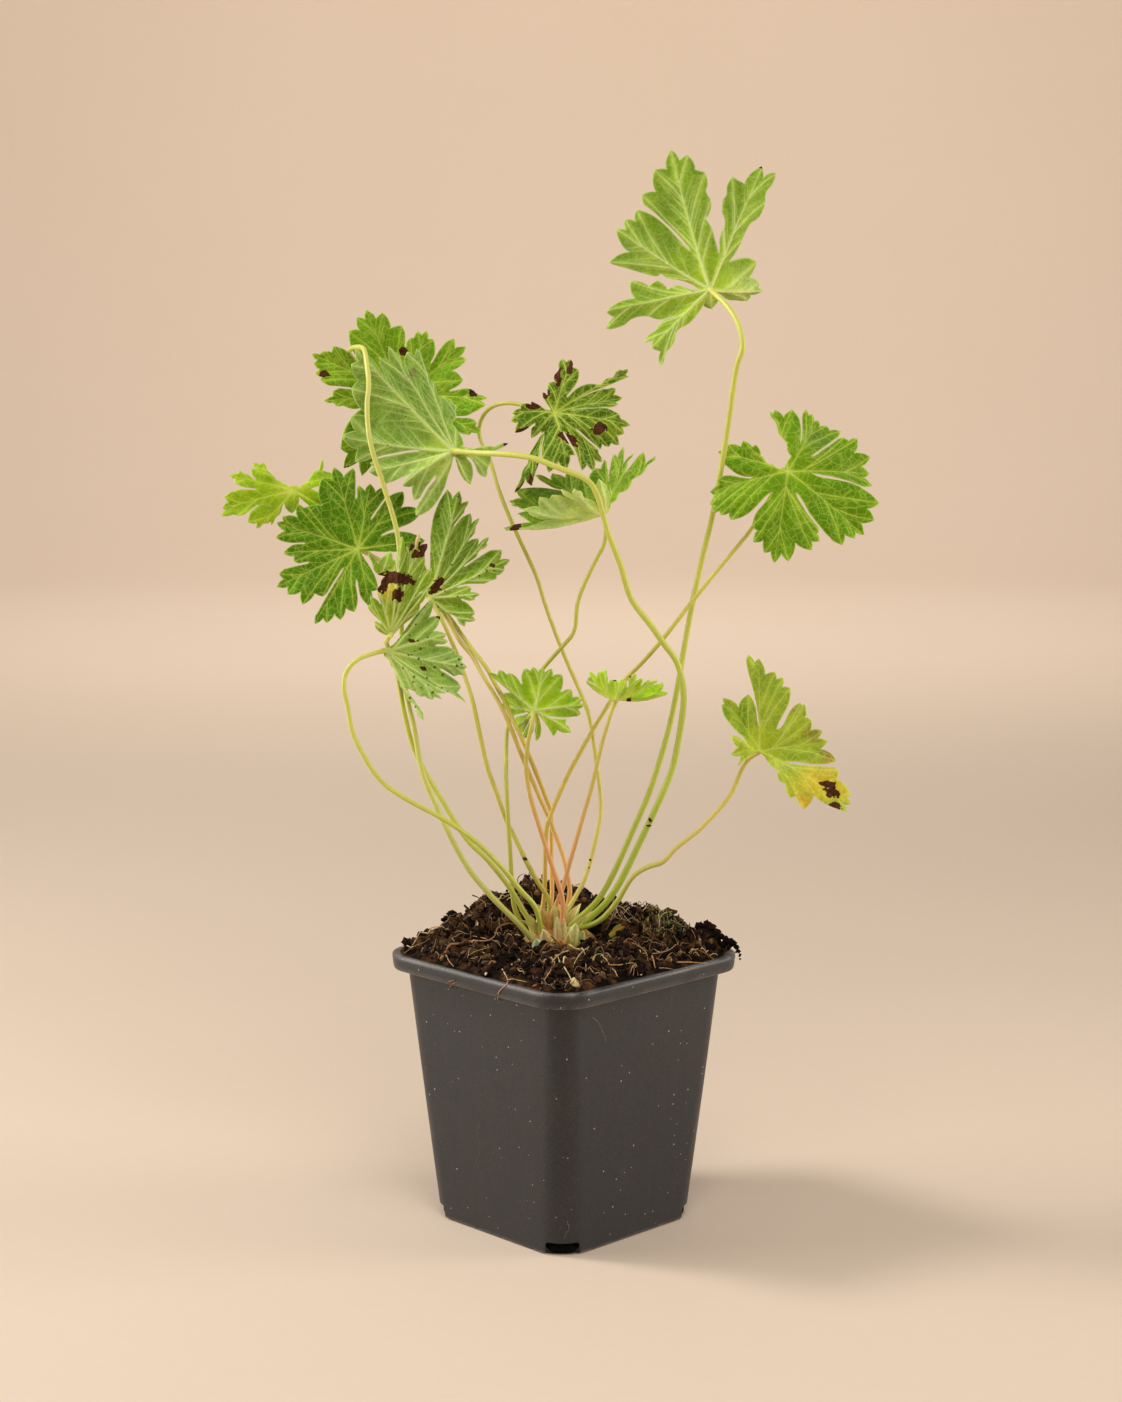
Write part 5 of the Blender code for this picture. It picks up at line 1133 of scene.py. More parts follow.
def make_pot():
    """The pot, its drain notches cut with near-black painted shade on their faces, and the dished
    floor that shows in them.
    """
    rings = []
    wear = []
    for out, z, pale in pot_profile():
        ring = rounded_square(wall_half(z) + out, wall_radius(z) + out, z)
        waved = []
        for x, y, height in ring:
            wave = noise.noise(Vector((x, y, height * 0.4)) * WAVE_SCALE) * POT_WAVE
            size = math.hypot(x, y)
            waved.append((x + x / size * wave, y + y / size * wave, height))
        rings.append(waved)
        wear += [pale] * len(ring)
    vertices, faces = loft(rings)
    pot = mesh_piece("pot_shell", vertices, faces, [pot_material()], ["pot"])
    scuffs = np.array([noise.noise(Vector(v) * SCUFF_SCALE) for v in vertices])
    shares = np.clip(np.array(wear) * (0.75 + 1.2 * scuffs), 0, 1)[:, None]
    set_colour(pot, "Tint", blend(POT_COLOUR, POT_WORN, shares))
    cutters = [notch_cutter(*corner) for corner in foot_corners()]
    for cutter in cutters:
        mod = pot.modifiers.new(cutter.name, "BOOLEAN")
        mod.operation = "DIFFERENCE"
        mod.solver = "EXACT"
        mod.object = cutter
    bpy.context.view_layer.update()
    depsgraph = bpy.context.evaluated_depsgraph_get()
    cut_mesh = bpy.data.meshes.new_from_object(pot.evaluated_get(depsgraph))
    pot.modifiers.clear()
    pot.data = cut_mesh
    # The faces of the cuts are tinted near black, a painted shade in the notches
    for value in pot.data.color_attributes["Tint"].data:
        if value.color[0] > 0.5:
            value.color = (*NOTCH_PAINTED_SHADE, 1.0)
    for cutter in cutters:
        bpy.data.objects.remove(cutter, do_unlink=True)
    pot.data.set_sharp_from_angle(angle=math.radians(50))
    return pot


def foot_corners():
    """The ways out and across at each of the pot's bottom corners, and how far out its wall is."""
    reach = (FOOT_HALF - FOOT_RADIUS) * math.sqrt(2) + FOOT_RADIUS
    for corner in range(4):
        turn = POT_TURN + math.pi / 4 + corner * math.pi / 2
        c, s = math.cos(turn), math.sin(turn)
        yield np.array([c, s, 0.0]), np.array([-s, c, 0.0]), reach


def notch_cutter(out, across, reach):
    """A box with its two upper corners rounded, standing through the wall at one foot corner."""
    half = NOTCH_WIDTH / 2
    top = NOTCH_HEIGHT
    outline = [(-half, -MM), (half, -MM)]
    for sign, start in ((1, 0), (-1, math.pi / 2)):
        for k in range(5):
            a = start + math.pi / 2 * k / 4
            outline.append((sign * (half - NOTCH_ROUND) + NOTCH_ROUND * math.cos(a),
                            top - NOTCH_ROUND + NOTCH_ROUND * math.sin(a)))
    vertices = []
    for depth in (reach - NOTCH_DEPTH, reach + 3 * MM):
        vertices += [out * depth + across * x + np.array([0, 0, z]) for x, z in outline]
    n = len(outline)
    ends = [tuple(range(n))[::-1], tuple(range(n, 2 * n))]
    return new_mesh("notch_cutter", vertices, ends + bands(1, n))


def blunt(value, power):
    """The value with its size raised to a power, which squares a round shape off."""
    return math.copysign(abs(value) ** power, value)


def make_foot_bulges():
    """The rounded corners of the pot's low floor, seen in the drain notches, tinted near black as
    painted shade.
    """
    batch = Batch()
    rows, columns = 16, 32
    depth, width, height = BULGE_SIZE
    for out, across, reach in foot_corners():
        middle = out * (reach - BULGE_INSET) + np.array([0.0, 0.0, BULGE_HEIGHT])
        vertices = []
        for r in range(rows + 1):
            polar = math.pi * r / rows
            ring = math.sin(polar) ** 0.55
            rise = blunt(math.cos(polar), 0.7)
            for c in range(columns):
                a = 2 * math.pi * c / columns
                x = blunt(math.cos(a), 0.8) * ring
                y = blunt(math.sin(a), 0.6) * ring
                vertices.append(middle + out * x * depth * MM + across * y * width * MM
                                + np.array([0.0, 0.0, rise * height * MM]))
        batch.add(vertices, bands(rows, columns, flip=True), NOTCH_PAINTED_SHADE)
    look = tinted_material("pot_shade", 1.0, 900, (0.8, 0.8, 0.8), 0.05 * MM, 0.05)
    return batch.piece("pot_floor_corners", [look], ())


def unit(v):
    return v / np.maximum(np.linalg.norm(v, axis=-1, keepdims=True), 1e-12)


class Blade:
    """A palmate leaf: each lobe's midrib is an arc from the stalk's end to the lobe's tip.

    The blade is drawn flat, in polar places (radius, angle), and laid over its midribs.
    """

    def __init__(self, plan):
        self.plan = plan
        self.at = seen(*plan["at"])
        self.tips = np.array([seen(*one["tip"]) for one in plan["lobes"]])
        arms = self.tips - self.at
        self.length = np.linalg.norm(arms, axis=1)
        heads = unit(arms)
        turns = np.arccos(np.clip((heads[:-1] * heads[1:]).sum(1), -1, 1))
        turns = np.maximum(turns, LEAST_TURN)
        turns *= min(1.0, MOST_TURN / turns.sum())
        self.angle = np.concatenate([[0], np.cumsum(turns)])
        self.normal = unit(np.cross(heads[:-1], heads[1:]).sum(0))
        self.bows = np.array([one["bow"] for one in plan["lobes"]]) * MM

    def rib(self, k, radius):
        """Vectors from the stalk's end to the points of midrib k at those radii."""
        s = radius / self.length[k]
        arm = self.tips[k] - self.at
        rise = 4 * self.bows[k] * s * (1 - s)
        return s[:, None] * arm + rise[:, None] * self.normal

    def place(self, radius, angle):
        """The points of the bent blade for flat polar places."""
        radius = np.maximum(np.asarray(radius, float), TINY)
        angle = np.asarray(angle, float)
        ribs = np.stack([self.rib(k, radius) for k in range(len(self.length))])
        knots = self.angle
        slopes = np.empty_like(ribs)
        slopes[1:-1] = (ribs[2:] - ribs[:-2]) / (knots[2:] - knots[:-2])[:, None, None]
        slopes[0] = (ribs[1] - ribs[0]) / (knots[1] - knots[0])
        slopes[-1] = (ribs[-1] - ribs[-2]) / (knots[-1] - knots[-2])
        left = np.clip(np.searchsorted(knots, angle, side="right") - 1, 0, len(knots) - 2)
        rows = np.arange(len(radius))
        span = knots[left + 1] - knots[left]
        t = ((angle - knots[left]) / span)[:, None]
        a, b = ribs[left, rows], ribs[left + 1, rows]
        ma, mb = slopes[left, rows] * span[:, None], slopes[left + 1, rows] * span[:, None]
        inside = (2 * t**3 - 3 * t**2 + 1) * a + (t**3 - 2 * t**2 + t) * ma
        inside = inside + (3 * t**2 - 2 * t**3) * b + (t**3 - t**2) * mb
        before = a + ma * t
        after = b + mb * (t - 1)
        v = np.where(t < 0, before, np.where(t > 1, after, inside))
        tc = np.clip(t, 0, 1)
        size = blend(np.linalg.norm(a, axis=1), np.linalg.norm(b, axis=1), tc[:, 0])
        return self.at + unit(v) * size[:, None]

    def flat(self, x, y, k, radius_share, turn):
        """The flat place, near lobe k, whose point the picture shows at pixel x, y."""
        scale = np.array([self.length[k], 1.0])
        rib = np.array([0.0, self.angle[k]])
        low = rib + scale * [PLACE_RADII[0], -PLACE_TURN]
        high = rib + scale * [PLACE_RADII[1], PLACE_TURN]
        here = rib + scale * [radius_share, turn]
        for _ in range(SEARCH_STEPS):
            trial = np.array([here, here + [NUDGES[0], 0], here + [0, NUDGES[1]]])
            p = pixel(self.place(trial[:, 0], trial[:, 1]))
            slope = np.stack([(p[1] - p[0]) / NUDGES[0], (p[2] - p[0]) / NUDGES[1]], 1) * scale
            miss = np.array([x, y]) - p[0]
            square = slope.T @ slope + np.eye(2) * SEARCH_DAMPING
            move = np.linalg.solve(square, slope.T @ miss)
            here = np.clip(here + SEARCH_STRIDE * move * scale, low, high)
        return here

    def teeth(self, k):
        """The flat places of lobe k's tip and teeth, in order round the lobe."""
        one = self.plan["lobes"][k]
        share, turn = TOOTH_GUESS
        places = [self.flat(x, y, k, share, -turn) for x, y in one["before"]]
        places.append(np.array([self.length[k], self.angle[k]]))
        return places + [self.flat(x, y, k, share, turn) for x, y in one["after"]]

    def divide(self, k, last_tooth, first_tooth):
        """The line between lobes k and k + 1: its radius and angle at the cleft, lean and end."""
        shortest = min(self.length[k], self.length[k + 1])
        turn = self.angle[k + 1] - self.angle[k]
        radius = SINUS_DEPTH * shortest
        angle = self.angle[k] + turn / 2
        sinus = self.plan["lobes"][k]["sinus"]
        if sinus:
            found = self.flat(*sinus, k, SINUS_GUESS, turn / 2)
            radius = min(max(found[0], LEAST_SINUS * shortest), MOST_SINUS * shortest)
            angle = min(max(found[1], angle - SINUS_ROOM * turn), angle + SINUS_ROOM * turn)
        outer = max((last_tooth[0] + first_tooth[0]) / 2, radius * OUTER_LEAST)
        lean = ((last_tooth[1] + first_tooth[1]) / 2 - angle) / (outer - radius)
        return radius, angle, lean, outer

    def outline(self):
        """The blade's edge in flat x, y: from cleft to tooth to cleft, round every lobe."""
        count = len(self.length)
        teeth = [self.teeth(k) for k in range(count)]
        lines = [self.divide(k, teeth[k][-1], teeth[k + 1][0]) for k in range(count - 1)]
        spread = self.angle[-1] - self.angle[0]
        base = min(BASE_ANGLE, math.pi - spread / 2 - BASE_SLACK)
        lines.insert(0, (BASE_RADIUS, self.angle[0] - base, 0.0, BASE_RADIUS))
        lines.append((BASE_RADIUS, self.angle[-1] + base, 0.0, BASE_RADIUS))
        edge = []
        for k in range(count):
            path = self.lobe_edge(k, lines[k], teeth[k], lines[k + 1])
            edge += path if k == count - 1 else path[:-1]
        if spread < CLOSED_TURN:
            edge.append(to_flat((BASE_RADIUS / 2, (self.angle[0] + self.angle[-1]) / 2 + math.pi)))
        return np.array(edge)

    def lobe_edge(self, k, low_line, teeth, high_line):
        """The edge of lobe k, from the cleft before it round its teeth to the cleft after it."""
        rib = to_flat((1.0, self.angle[k]))
        hub = HUB_SHARE * self.length[k] * rib
        tips = [to_flat(place) for place in teeth]
        path = side_arc(to_flat(low_line), tips[0], rib, tips[0] - hub, -1)
        for a, b in zip(tips[:-1], tips[1:]):
            inward = hub - (a + b) / 2
            reach = np.linalg.norm(inward)
            square = abs((a - b) @ quarter_turn(inward)) / reach
            share = min(NOTCH_SHARE * square**2 / np.linalg.norm(a - b) / reach, DEEPEST_NOTCH)
            notch = (a + b) / 2 + inward * share
            path += tooth_arc(a, notch, a - hub, 1) + tooth_arc(notch, b, b - hub, -1)
        path += side_arc(to_flat(high_line), tips[-1], rib, tips[-1] - hub, 1)[-2::-1]
        return [self.keep_between(p, low_line, high_line, k) for p in path]

    def unwrap(self, x, y):
        """Polar places of flat points, with angles counted from the first lobe."""
        middle = (self.angle[0] + self.angle[-1]) / 2
        angle = np.arctan2(y, x)
        angle = angle - 2 * math.pi * np.round((angle - middle) / (2 * math.pi))
        return np.hypot(x, y), angle

    def keep_between(self, point, low_line, high_line, k):
        """Holds a lobe's edge between its own dividing lines, so that lobes never cross."""
        radius = math.hypot(*point)
        angle = math.atan2(point[1], point[0])
        angle += 2 * math.pi * round((self.angle[k] - angle) / (2 * math.pi))
        slack = LOBE_GAP / 2 / max(radius, TINY)
        for line, side in ((low_line, 1), (high_line, -1)):
            start, cleft_angle, lean, outer = line
            limit = cleft_angle + lean * max(0.0, min(radius, outer) - start)
            if radius > start * CLEFT_FOOT:
                limit += side * slack
            angle = side * max(side * angle, side * limit)
        return (radius * math.cos(angle), radius * math.sin(angle))


def to_flat(place):
    """The flat x, y of a place whose first two values are its radius and angle."""
    return np.array([place[0] * math.cos(place[1]), place[0] * math.sin(place[1])])


def quarter_turn(v):
    return np.array([-v[1], v[0]])


def bezier(p0, p1, p2, p3, pieces):
    t = np.linspace(0, 1, pieces + 1)[:, None]
    curve = (1 - t)**3 * p0 + 3 * t * (1 - t)**2 * p1 + 3 * t**2 * (1 - t) * p2 + t**3 * p3
    return [np.array(p) for p in curve]


def side_arc(cleft, tip, rib, axis, side):
    """The long edge from a cleft out to the nearest tooth: slim at first, then swelling."""
    span = tip - cleft
    size = np.linalg.norm(span)
    across = quarter_turn(axis / np.linalg.norm(axis)) * side
    low = cleft + rib * SIDE_LOW * size + across * SIDE_SPREAD * size
    high = tip - span * SIDE_HIGH + across * SIDE_SWELL * size
    return bezier(cleft, low, high, tip, EDGE_LONG)


def tooth_arc(start, end, axis, side):
    """A tooth's edge between its tip and the notch beside it."""
    span = end - start
    size = np.linalg.norm(span)
    across = quarter_turn(axis / np.linalg.norm(axis)) * side
    bulge = across * TOOTH_SWELL * size
    low, high = (start + span * share + bulge for share in NOTCH_PLACES)
    return bezier(start, low, high, end, EDGE_SHORT)[1:]


# The peat
def soil_height(x, y):
    """The mound's height: it piles up close to the rim and is highest behind the crown."""
    edge = max(0.0, 1 - (math.hypot(x, y) / MOUND_REACH) ** 2)
    pile = 1 - min(1.0, square_reach(x, y)) ** PILE_POWER
    rise = EDGE_RISE + MIDDLE_RISE * edge + PILE_RISE * pile
    rise += bell(x, y, BACK_BUMP) * min(1.0, 3 * edge)
    rise += bell(x, y, LEFT_BUMP) * pile + bell(x, y, RIGHT_BUMP) * pile
    rise -= bell(x, y, SEAT_DIP)
    return SOIL_EDGE_HEIGHT + rise * MM


def bell(x, y, bump):
    """How high a bump stands at a place: it fades over its two widths from its middle."""
    middle_x, middle_y, width_x, width_y, height = bump
    off_x, off_y = (x / MM - middle_x) / width_x, (y / MM - middle_y) / width_y
    return height * math.exp(-off_x ** 2 - off_y ** 2)


def lumps(x, y):
    """How far the crumbly surface stands above the mound's smooth shape."""
    p = Vector((x, y, 0.0))
    p = p + noise.noise_vector(p * WARP_SCALE) * WARP_REACH
    swell = noise.fractal(p * LUMP_SCALES[0], 0.9, 2.1, 3)
    clod = 0.5 - noise.voronoi(p * LUMP_SCALES[1])[0][0]
    grain = 0.5 - noise.voronoi(p * LUMP_SCALES[2])[0][0]
    heights = LUMP_HEIGHTS
    return (heights[0] * swell + heights[1] * clod * abs(clod) + heights[2] * grain) * MM


def square_reach(x, y):
    """How far a point is out from the pot's axis: 1 on the rounded square of the peat's edge."""
    c, s = math.cos(-POT_TURN), math.sin(-POT_TURN)
    u, v = abs(x * c - y * s), abs(x * s + y * c)
    half = RIM_HALF - SPILL
    inner = RIM_HALF - RIM_RADIUS
    if u > inner and v > inner:
        return (inner + math.hypot(u - inner, v - inner)) / half
    return max(u, v) / half


def mound_height(x, y):
    """The peat's finished surface: crumbly, calmer where it meets the pot's wall."""
    calm = min(1.0, max(0.0, (1.0 - square_reach(x, y)) / 0.12))
    return soil_height(x, y) + lumps(x, y) * (0.3 + 0.7 * calm)


def make_mound():
    """The root ball: a broken top that spills on to the lip, on a plain body that fills the pot."""
    rng = random.Random(11)
    edge = rounded_square(RIM_HALF - SPILL, RIM_RADIUS - SPILL, 0, *EDGE_POINTS)
    flat = [Vector((x, y)) / MM for x, y, z in edge]
    n = len(flat)
    step = SOIL_STEP
    rows = int(SOIL_HALF / (step * TRIANGLE_RISE)) * 2
    for row in range(rows):
        y = (row - rows / 2) * step * TRIANGLE_RISE
        for column in range(int(2 * SOIL_HALF / step)):
            x = (column - SOIL_HALF / step + 0.5 * (row % 2)) * step
            px, py = x + rng.uniform(-0.2, 0.2) * step, y + rng.uniform(-0.2, 0.2) * step
            if square_reach(px * MM, py * MM) < 0.992:
                flat.append(Vector((px, py)))
    points, _, faces, _, _, _ = delaunay_2d_cdt(flat, ring_pairs(0, n), [], 1, 1e-4)
    vertices = []
    for p in points:
        x, y = p.x * MM, p.y * MM
        outer = min(1.0, max(0.0, (square_reach(x, y) - 0.86) / 0.14))
        ragged = 0.4 + 1.1 * noise.noise(Vector((x, y, 0)) * 170)
        inward = 1 - outer * ragged * MM / max(math.hypot(x, y), MM)
        height = mound_height(x, y) - outer ** 6 * 0.9 * MM
        vertices.append((x * inward, y * inward, height))
    faces = [tuple(face) for face in faces]
    tints = [peat_tint(x, y, z) for x, y, z in vertices]
    above = 0
    for z in BODY_HEIGHTS:
        half = wall_half(z * MM) - WALL - GAP
        radius = wall_radius(z * MM) - WALL - GAP
        inset = 1.5 * MM if z == BODY_HEIGHTS[-1] else 0.0
        below = len(vertices)
        vertices += rounded_square(half - inset, radius, z * MM, *EDGE_POINTS)
        tints += [PEAT_DARK] * n
        for (a, b), (c, d) in zip(ring_pairs(above, n), ring_pairs(below, n)):
            faces.append((a, c, d, b))
        above = below
    faces.append(tuple(range(above, above + n))[::-1])
    return vertices, faces, tints


def peat_tint(x, y, z):
    """Peat is red-brown in random drier patches; by its height it is painted nearly black in its
    hollows and paler on its raised crumbs, as painted shade.
    """
    p = Vector((x, y, z))
    dry = noise.noise(p * 210) + 0.6 * noise.noise(p * 520)
    # Height above the mound's smooth shape, which sets the painted shade
    proud = (z - soil_height(x, y)) / MM
    share = min(1.0, max(0.0, 0.25 + 0.9 * dry + 0.22 * proud))
    return tuple(blend(PEAT_DARK, PEAT_PALE, share))


def crumb(rng, centre, size, fine=True):
    """One rough lump: a ball of few faces, squeezed and knocked about."""
    rows, columns = (6, 9) if fine else (4, 6)
    turn = Vector((rng.gauss(0, 1), rng.gauss(0, 1), rng.gauss(0, 1))).normalized()
    spin = turn.to_track_quat("Z", "Y").to_matrix()
    squeeze = (rng.uniform(0.7, 1.4), rng.uniform(0.6, 1.1), rng.uniform(0.45, 0.8))
    offset = Vector((rng.uniform(0, 90), rng.uniform(0, 90), rng.uniform(0, 90)))
    vertices = []
    for r in range(rows + 1):
        polar = math.pi * r / rows
        count = 1 if r in (0, rows) else columns
        for c in range(count):
            p = on_ball(polar, 2 * math.pi * c / columns)
            knock = 1 + 0.75 * noise.noise(p * 1.6 + offset) + 0.4 * noise.noise(p * 3.6 + offset)
            p = Vector((p.x * squeeze[0], p.y * squeeze[1], p.z * squeeze[2])) * knock * size
            vertices.append(tuple(spin @ p + centre))
    last = len(vertices) - 1
    faces = [(0, a, b) for a, b in ring_pairs(1, columns)]
    faces += bands(rows - 2, columns, 1, flip=True)
    faces += [(b, a, last) for a, b in ring_pairs(last - columns, columns)]
    return vertices, faces


def random_place(rng):
    """A random point on the peat, in metres."""
    while True:
        x, y = rng.uniform(-54, 54) * MM, rng.uniform(-54, 54) * MM
        if square_reach(x, y) < 0.96:
            return x, y


def make_soil():
    """The mound with its loose crumbs, in one piece that replaces the plain root ball."""
    rng = random.Random(5)
    batch = Batch()
    batch.add(*make_mound())
    for _ in range(CRUMBS):
        x, y = random_place(rng)
        size = rng.choice(CRUMB_SIZES) * rng.uniform(0.8, 1.2) * MM
        if math.hypot((x - CROWN_CENTRE.x) / 13, (y - CROWN_CENTRE.y) / 12) < MM:
            continue
        centre = Vector((x, y, mound_height(x, y) + 0.25 * size))
        share = rng.random() ** 2
        tint = blend(PEAT_DARK, rng.choice(CRUMB_COLOURS), share)
        batch.add(*crumb(rng, centre, size, size >= FINE_CRUMB), tint)
    for _ in range(RIM_CLODS):
        along = rng.uniform(0, 2 * math.pi)
        x, y = math.cos(along), math.sin(along)
        out = rng.uniform(0.9, 1.0) / square_reach(x, y)
        size = rng.uniform(0.5, 1.5) * MM
        centre = Vector((x * out, y * out, mound_height(x * out, y * out) + 0.2 * size))
        tint = np.array(PEAT_DARK) * (1.0 + 3 * rng.random() ** 2)
        batch.add(*crumb(rng, centre, size), tint)
    for x, y, depth, size in RIM_CRUMBS:
        lump = crumb(rng, Vector(seen(x, y, depth)), size * MM)
        batch.add(*lump, np.array(PEAT_DARK) * rng.uniform(1.0, 3.0))
    look = tinted_material("peat", 0.95, 900, (0.3, 0.26, 0.22), 0.35 * MM, 0.12)
    return batch.piece("peat_mound", [look], ["soil"])


def fibre_route(rng, x, y, length, lift):
    """A fine root's line: it wanders over the peat, with its middle lifted a little."""
    heading = rng.uniform(0, 2 * math.pi)
    bend = rng.gauss(0, 0.3)
    steps = max(5, int(length / (0.9 * MM)))
    points = []
    for k in range(steps + 1):
        share = k / steps
        up = lift * math.sin(math.pi * share) + 0.12 * MM
        points.append((x, y, mound_height(x, y) + up))
        heading += bend * 0.3 + rng.gauss(0, 0.17)
        x += math.cos(heading) * length / steps
        y += math.sin(heading) * length / steps
        if square_reach(x, y) > 0.97:
            break
    return points


def make_roots(surface_tree):
    """Roots, fibres, twigs and moss on the peat, the named ones where the picture shows them."""
    rng = random.Random(23)
    batch = Batch()
    for _ in range(FIBRES):
        x, y = random_place(rng)
        length = rng.uniform(2.5, 8) * rng.choice(FIBRE_STRETCHES) * MM
        points = fibre_route(rng, x, y, length, rng.uniform(0, 1.6) * MM)
        if len(points) < 4:
            continue
        radius = rng.choice(FIBRE_RADII) * MM
        tint = np.array(srgb(*rng.choice(FIBRE_COLOURS))) * rng.choice(FIBRE_SHADES)
        points = smooth_line(points, 3)
        taper = np.sin(np.linspace(0.35, 2.6, len(points))) * radius + 0.04 * MM
        batch.add(*tube(points, taper, 5), tint)
    for colour, radius, lift, pixels in ROOTS:
        points = []
        for x, y in pixels:
            spot = on_surface(surface_tree, x, y)
            if spot is not None:
                points.append(np.array(spot) + np.array([0, -0.35, 0.75]) * lift * MM)
        points = smooth_line(points, 6)
        taper = radius * MM * (0.75 + 0.25 * np.cos(np.linspace(0, 2.4, len(points))))
        batch.add(*tube(points, taper, 7), srgb(*colour))
    for colour, radius, depth, pixels in TWIGS:
        points = smooth_line([seen(x, y, depth) for x, y in pixels], 6)
        taper = radius * MM * (0.8 + 0.3 * np.sin(np.linspace(0, 9, len(points))))
        batch.add(*tube(points, taper, 7), srgb(*colour))
    for colour, size, x, y in ROOT_KNOBS:
        centre = Vector(on_surface(surface_tree, x, y)) + Vector((0, -0.4, 0.5)) * MM
        batch.add(*crumb(rng, centre, size * MM), srgb(*colour))
    for _ in range(MOSS_SPRIGS):
        a, reach = rng.uniform(0, 2 * math.pi), rng.random() ** 0.6
        px = MOSS_MIDDLE[0] + MOSS_REACH[0] * reach * math.cos(a)
        py = MOSS_MIDDLE[1] + MOSS_REACH[1] * reach * math.sin(a)
        foot = on_surface(surface_tree, px, py)
        if foot is None:
            continue
        lean = Vector((rng.gauss(0, 0.6), rng.gauss(0, 0.6), 1)).normalized()
        points = [foot + lean * t * rng.uniform(0.9, 1.3) * MM for t in (0, 0.5, 1.0, 1.4)]
        tint = np.array(srgb(*rng.choice(MOSS_COLOURS)))
        batch.add(*tube(points, np.array([0.22, 0.3, 0.22, 0.06]) * MM, 4), tint)
    look = tinted_material("root", 0.7, 1400, (0.55, 0.5, 0.45), 0.1 * MM)
    return batch.piece("roots_and_moss", [look], ())


def on_surface(tree, x, y):
    """The first point of the pot or the peat that the picture shows at that pixel."""
    return tree.ray_cast(Vector(EYE), Vector(ray(x, y)).normalized())[0]


def smooth_line(points, pieces):
    """A Catmull-Rom curve through the points."""
    points = np.array([tuple(p) for p in points])
    padded = np.concatenate([[2 * points[0] - points[1]], points, [2 * points[-1] - points[-2]]])
    fine = []
    for k in range(len(points) - 1):
        a, b, c, d = padded[k:k + 4]
        for t in np.linspace(0, 1, pieces, endpoint=False):
            fine.append(0.5 * (2 * b + (c - a) * t + (2 * a - 5 * b + 4 * c - d) * t**2
                               + (3 * b - a - 3 * c + d) * t**3))
    return np.array(fine + [points[-1]])


# The crown
def make_crown():
    """The knot of the plant: a rough heart in overlapping papery scales that end in points."""
    batch = Batch()
    heart = Vector((CROWN_CENTRE.x, CROWN_CENTRE.y, CROWN_CENTRE.z - 0.5 * MM))
    rows, columns = 24, 40
    vertices = []
    tints = []
    for r in range(rows + 1):
        polar = math.pi * r / rows
        for c in range(columns):
            p = on_ball(polar, 2 * math.pi * c / columns)
            knock = 0.93 + 0.1 * noise.noise(p * 3.5) + 0.05 * noise.noise(p * 9)
            vertices.append([h + v * s * knock for h, v, s in zip(heart, p, CROWN_SIZE)])
            share = min(1, max(0, 0.5 + 1.1 * noise.noise(p * 4 + Vector((4, 0, 0)))))
            tints.append(blend(HEART_STRAW, HEART_BROWN, share))
    faces = bands(rows, columns, flip=True)
    faces.append(tuple(range(columns)))
    faces.append(tuple(range(rows * columns, (rows + 1) * columns))[::-1])
    batch.add(vertices, faces, tints)
    for foot_x, foot_y, turn, lean, length, width, colour in SCALES:
        out = np.array([math.cos(turn), math.sin(turn), 0.0])
        dx, dy = foot_x * MM, foot_y * MM
        round_off = max(0.0, 1 - (dx / CROWN_SIZE.x) ** 2 - (dy / CROWN_SIZE.y) ** 2)
        up = CROWN_SIZE.z * math.sqrt(round_off) - SCALE_SINK
        foot = np.array(CROWN_CENTRE) + np.array([dx, dy, up])
        batch.add(*scale_shape(foot, np.array([0.0, 0.0, length * MM]), out, lean, width, colour))
    for low, high, depth, width, colour in FRONT_SCALES:
        foot, tip = np.array(seen(*low, depth)), np.array(seen(*high, depth - 0.5))
        batch.add(*scale_shape(foot, tip - foot, np.array([0.0, -1.0, 0.2]), 0.12, width, colour))
    look = tinted_material("bud_scale", 0.55, 700, (0.84, 0.78, 0.62), 0.15 * MM)
    return batch.piece("crown_scales", [look], ["crown"])


def scale_shape(foot, rise_by, out, lean, width, colour):
    """One pointed, hollowed scale: it rises from its foot by that vector, and its tip leans out."""
    rows, columns = 14, 9
    length = np.linalg.norm(rise_by)
    up = rise_by / length
    out = unit(out - up * (out @ up))
    across = np.cross(up, out)
    sheets = []
    for side in (1, -1):
        for r in range(rows + 1):
            t = r / rows
            swell = math.sin(math.pi * (0.28 + 0.72 * t)) ** 0.8 if t < 1 else 0.02
            half = max(width * MM / 2 * swell, 0.05 * MM)
            c, s = math.cos(lean * t), math.sin(lean * t)
            rise = foot + up * length * t * c + out * length * t * s
            for column in range(columns):
                u = 2 * column / (columns - 1) - 1
                curl = out * (-half * 0.75 * u * u)
                crease = out * 0.12 * MM * noise.noise(Vector((u * 4, t * 5, foot[0] * 900)))
                thick = out * side * 0.14 * MM
                sheets.append(rise + across * half * u + curl + crease + thick)
    n = (rows + 1) * columns
    faces = []
    for r in range(rows):
        for c in range(columns - 1):
            a = r * columns + c
            faces.append((a, a + 1, a + columns + 1, a + columns))
            faces.append((n + a, n + a + columns, n + a + columns + 1, n + a + 1))
    rim = list(range(columns))
    rim += [r * columns + columns - 1 for r in range(1, rows + 1)]
    rim += [rows * columns + c for c in range(columns - 2, -1, -1)]
    rim += [r * columns for r in range(rows - 1, 0, -1)]
    for a, b in zip(rim, rim[1:] + rim[:1]):
        faces.append((b, a, n + a, n + b))
    shares = np.repeat(np.linspace(0, 1, rows + 1), columns)[:, None]
    tints = blend(srgb(*colour[0]), srgb(*colour[1]), shares)
    streak = [0.92 + 0.18 * math.sin(c * 2.4 + width) for c in range(columns)]
    streak = np.array(streak * (rows + 1))[:, None]
    return sheets, faces, np.tile(tints * streak, (2, 1))


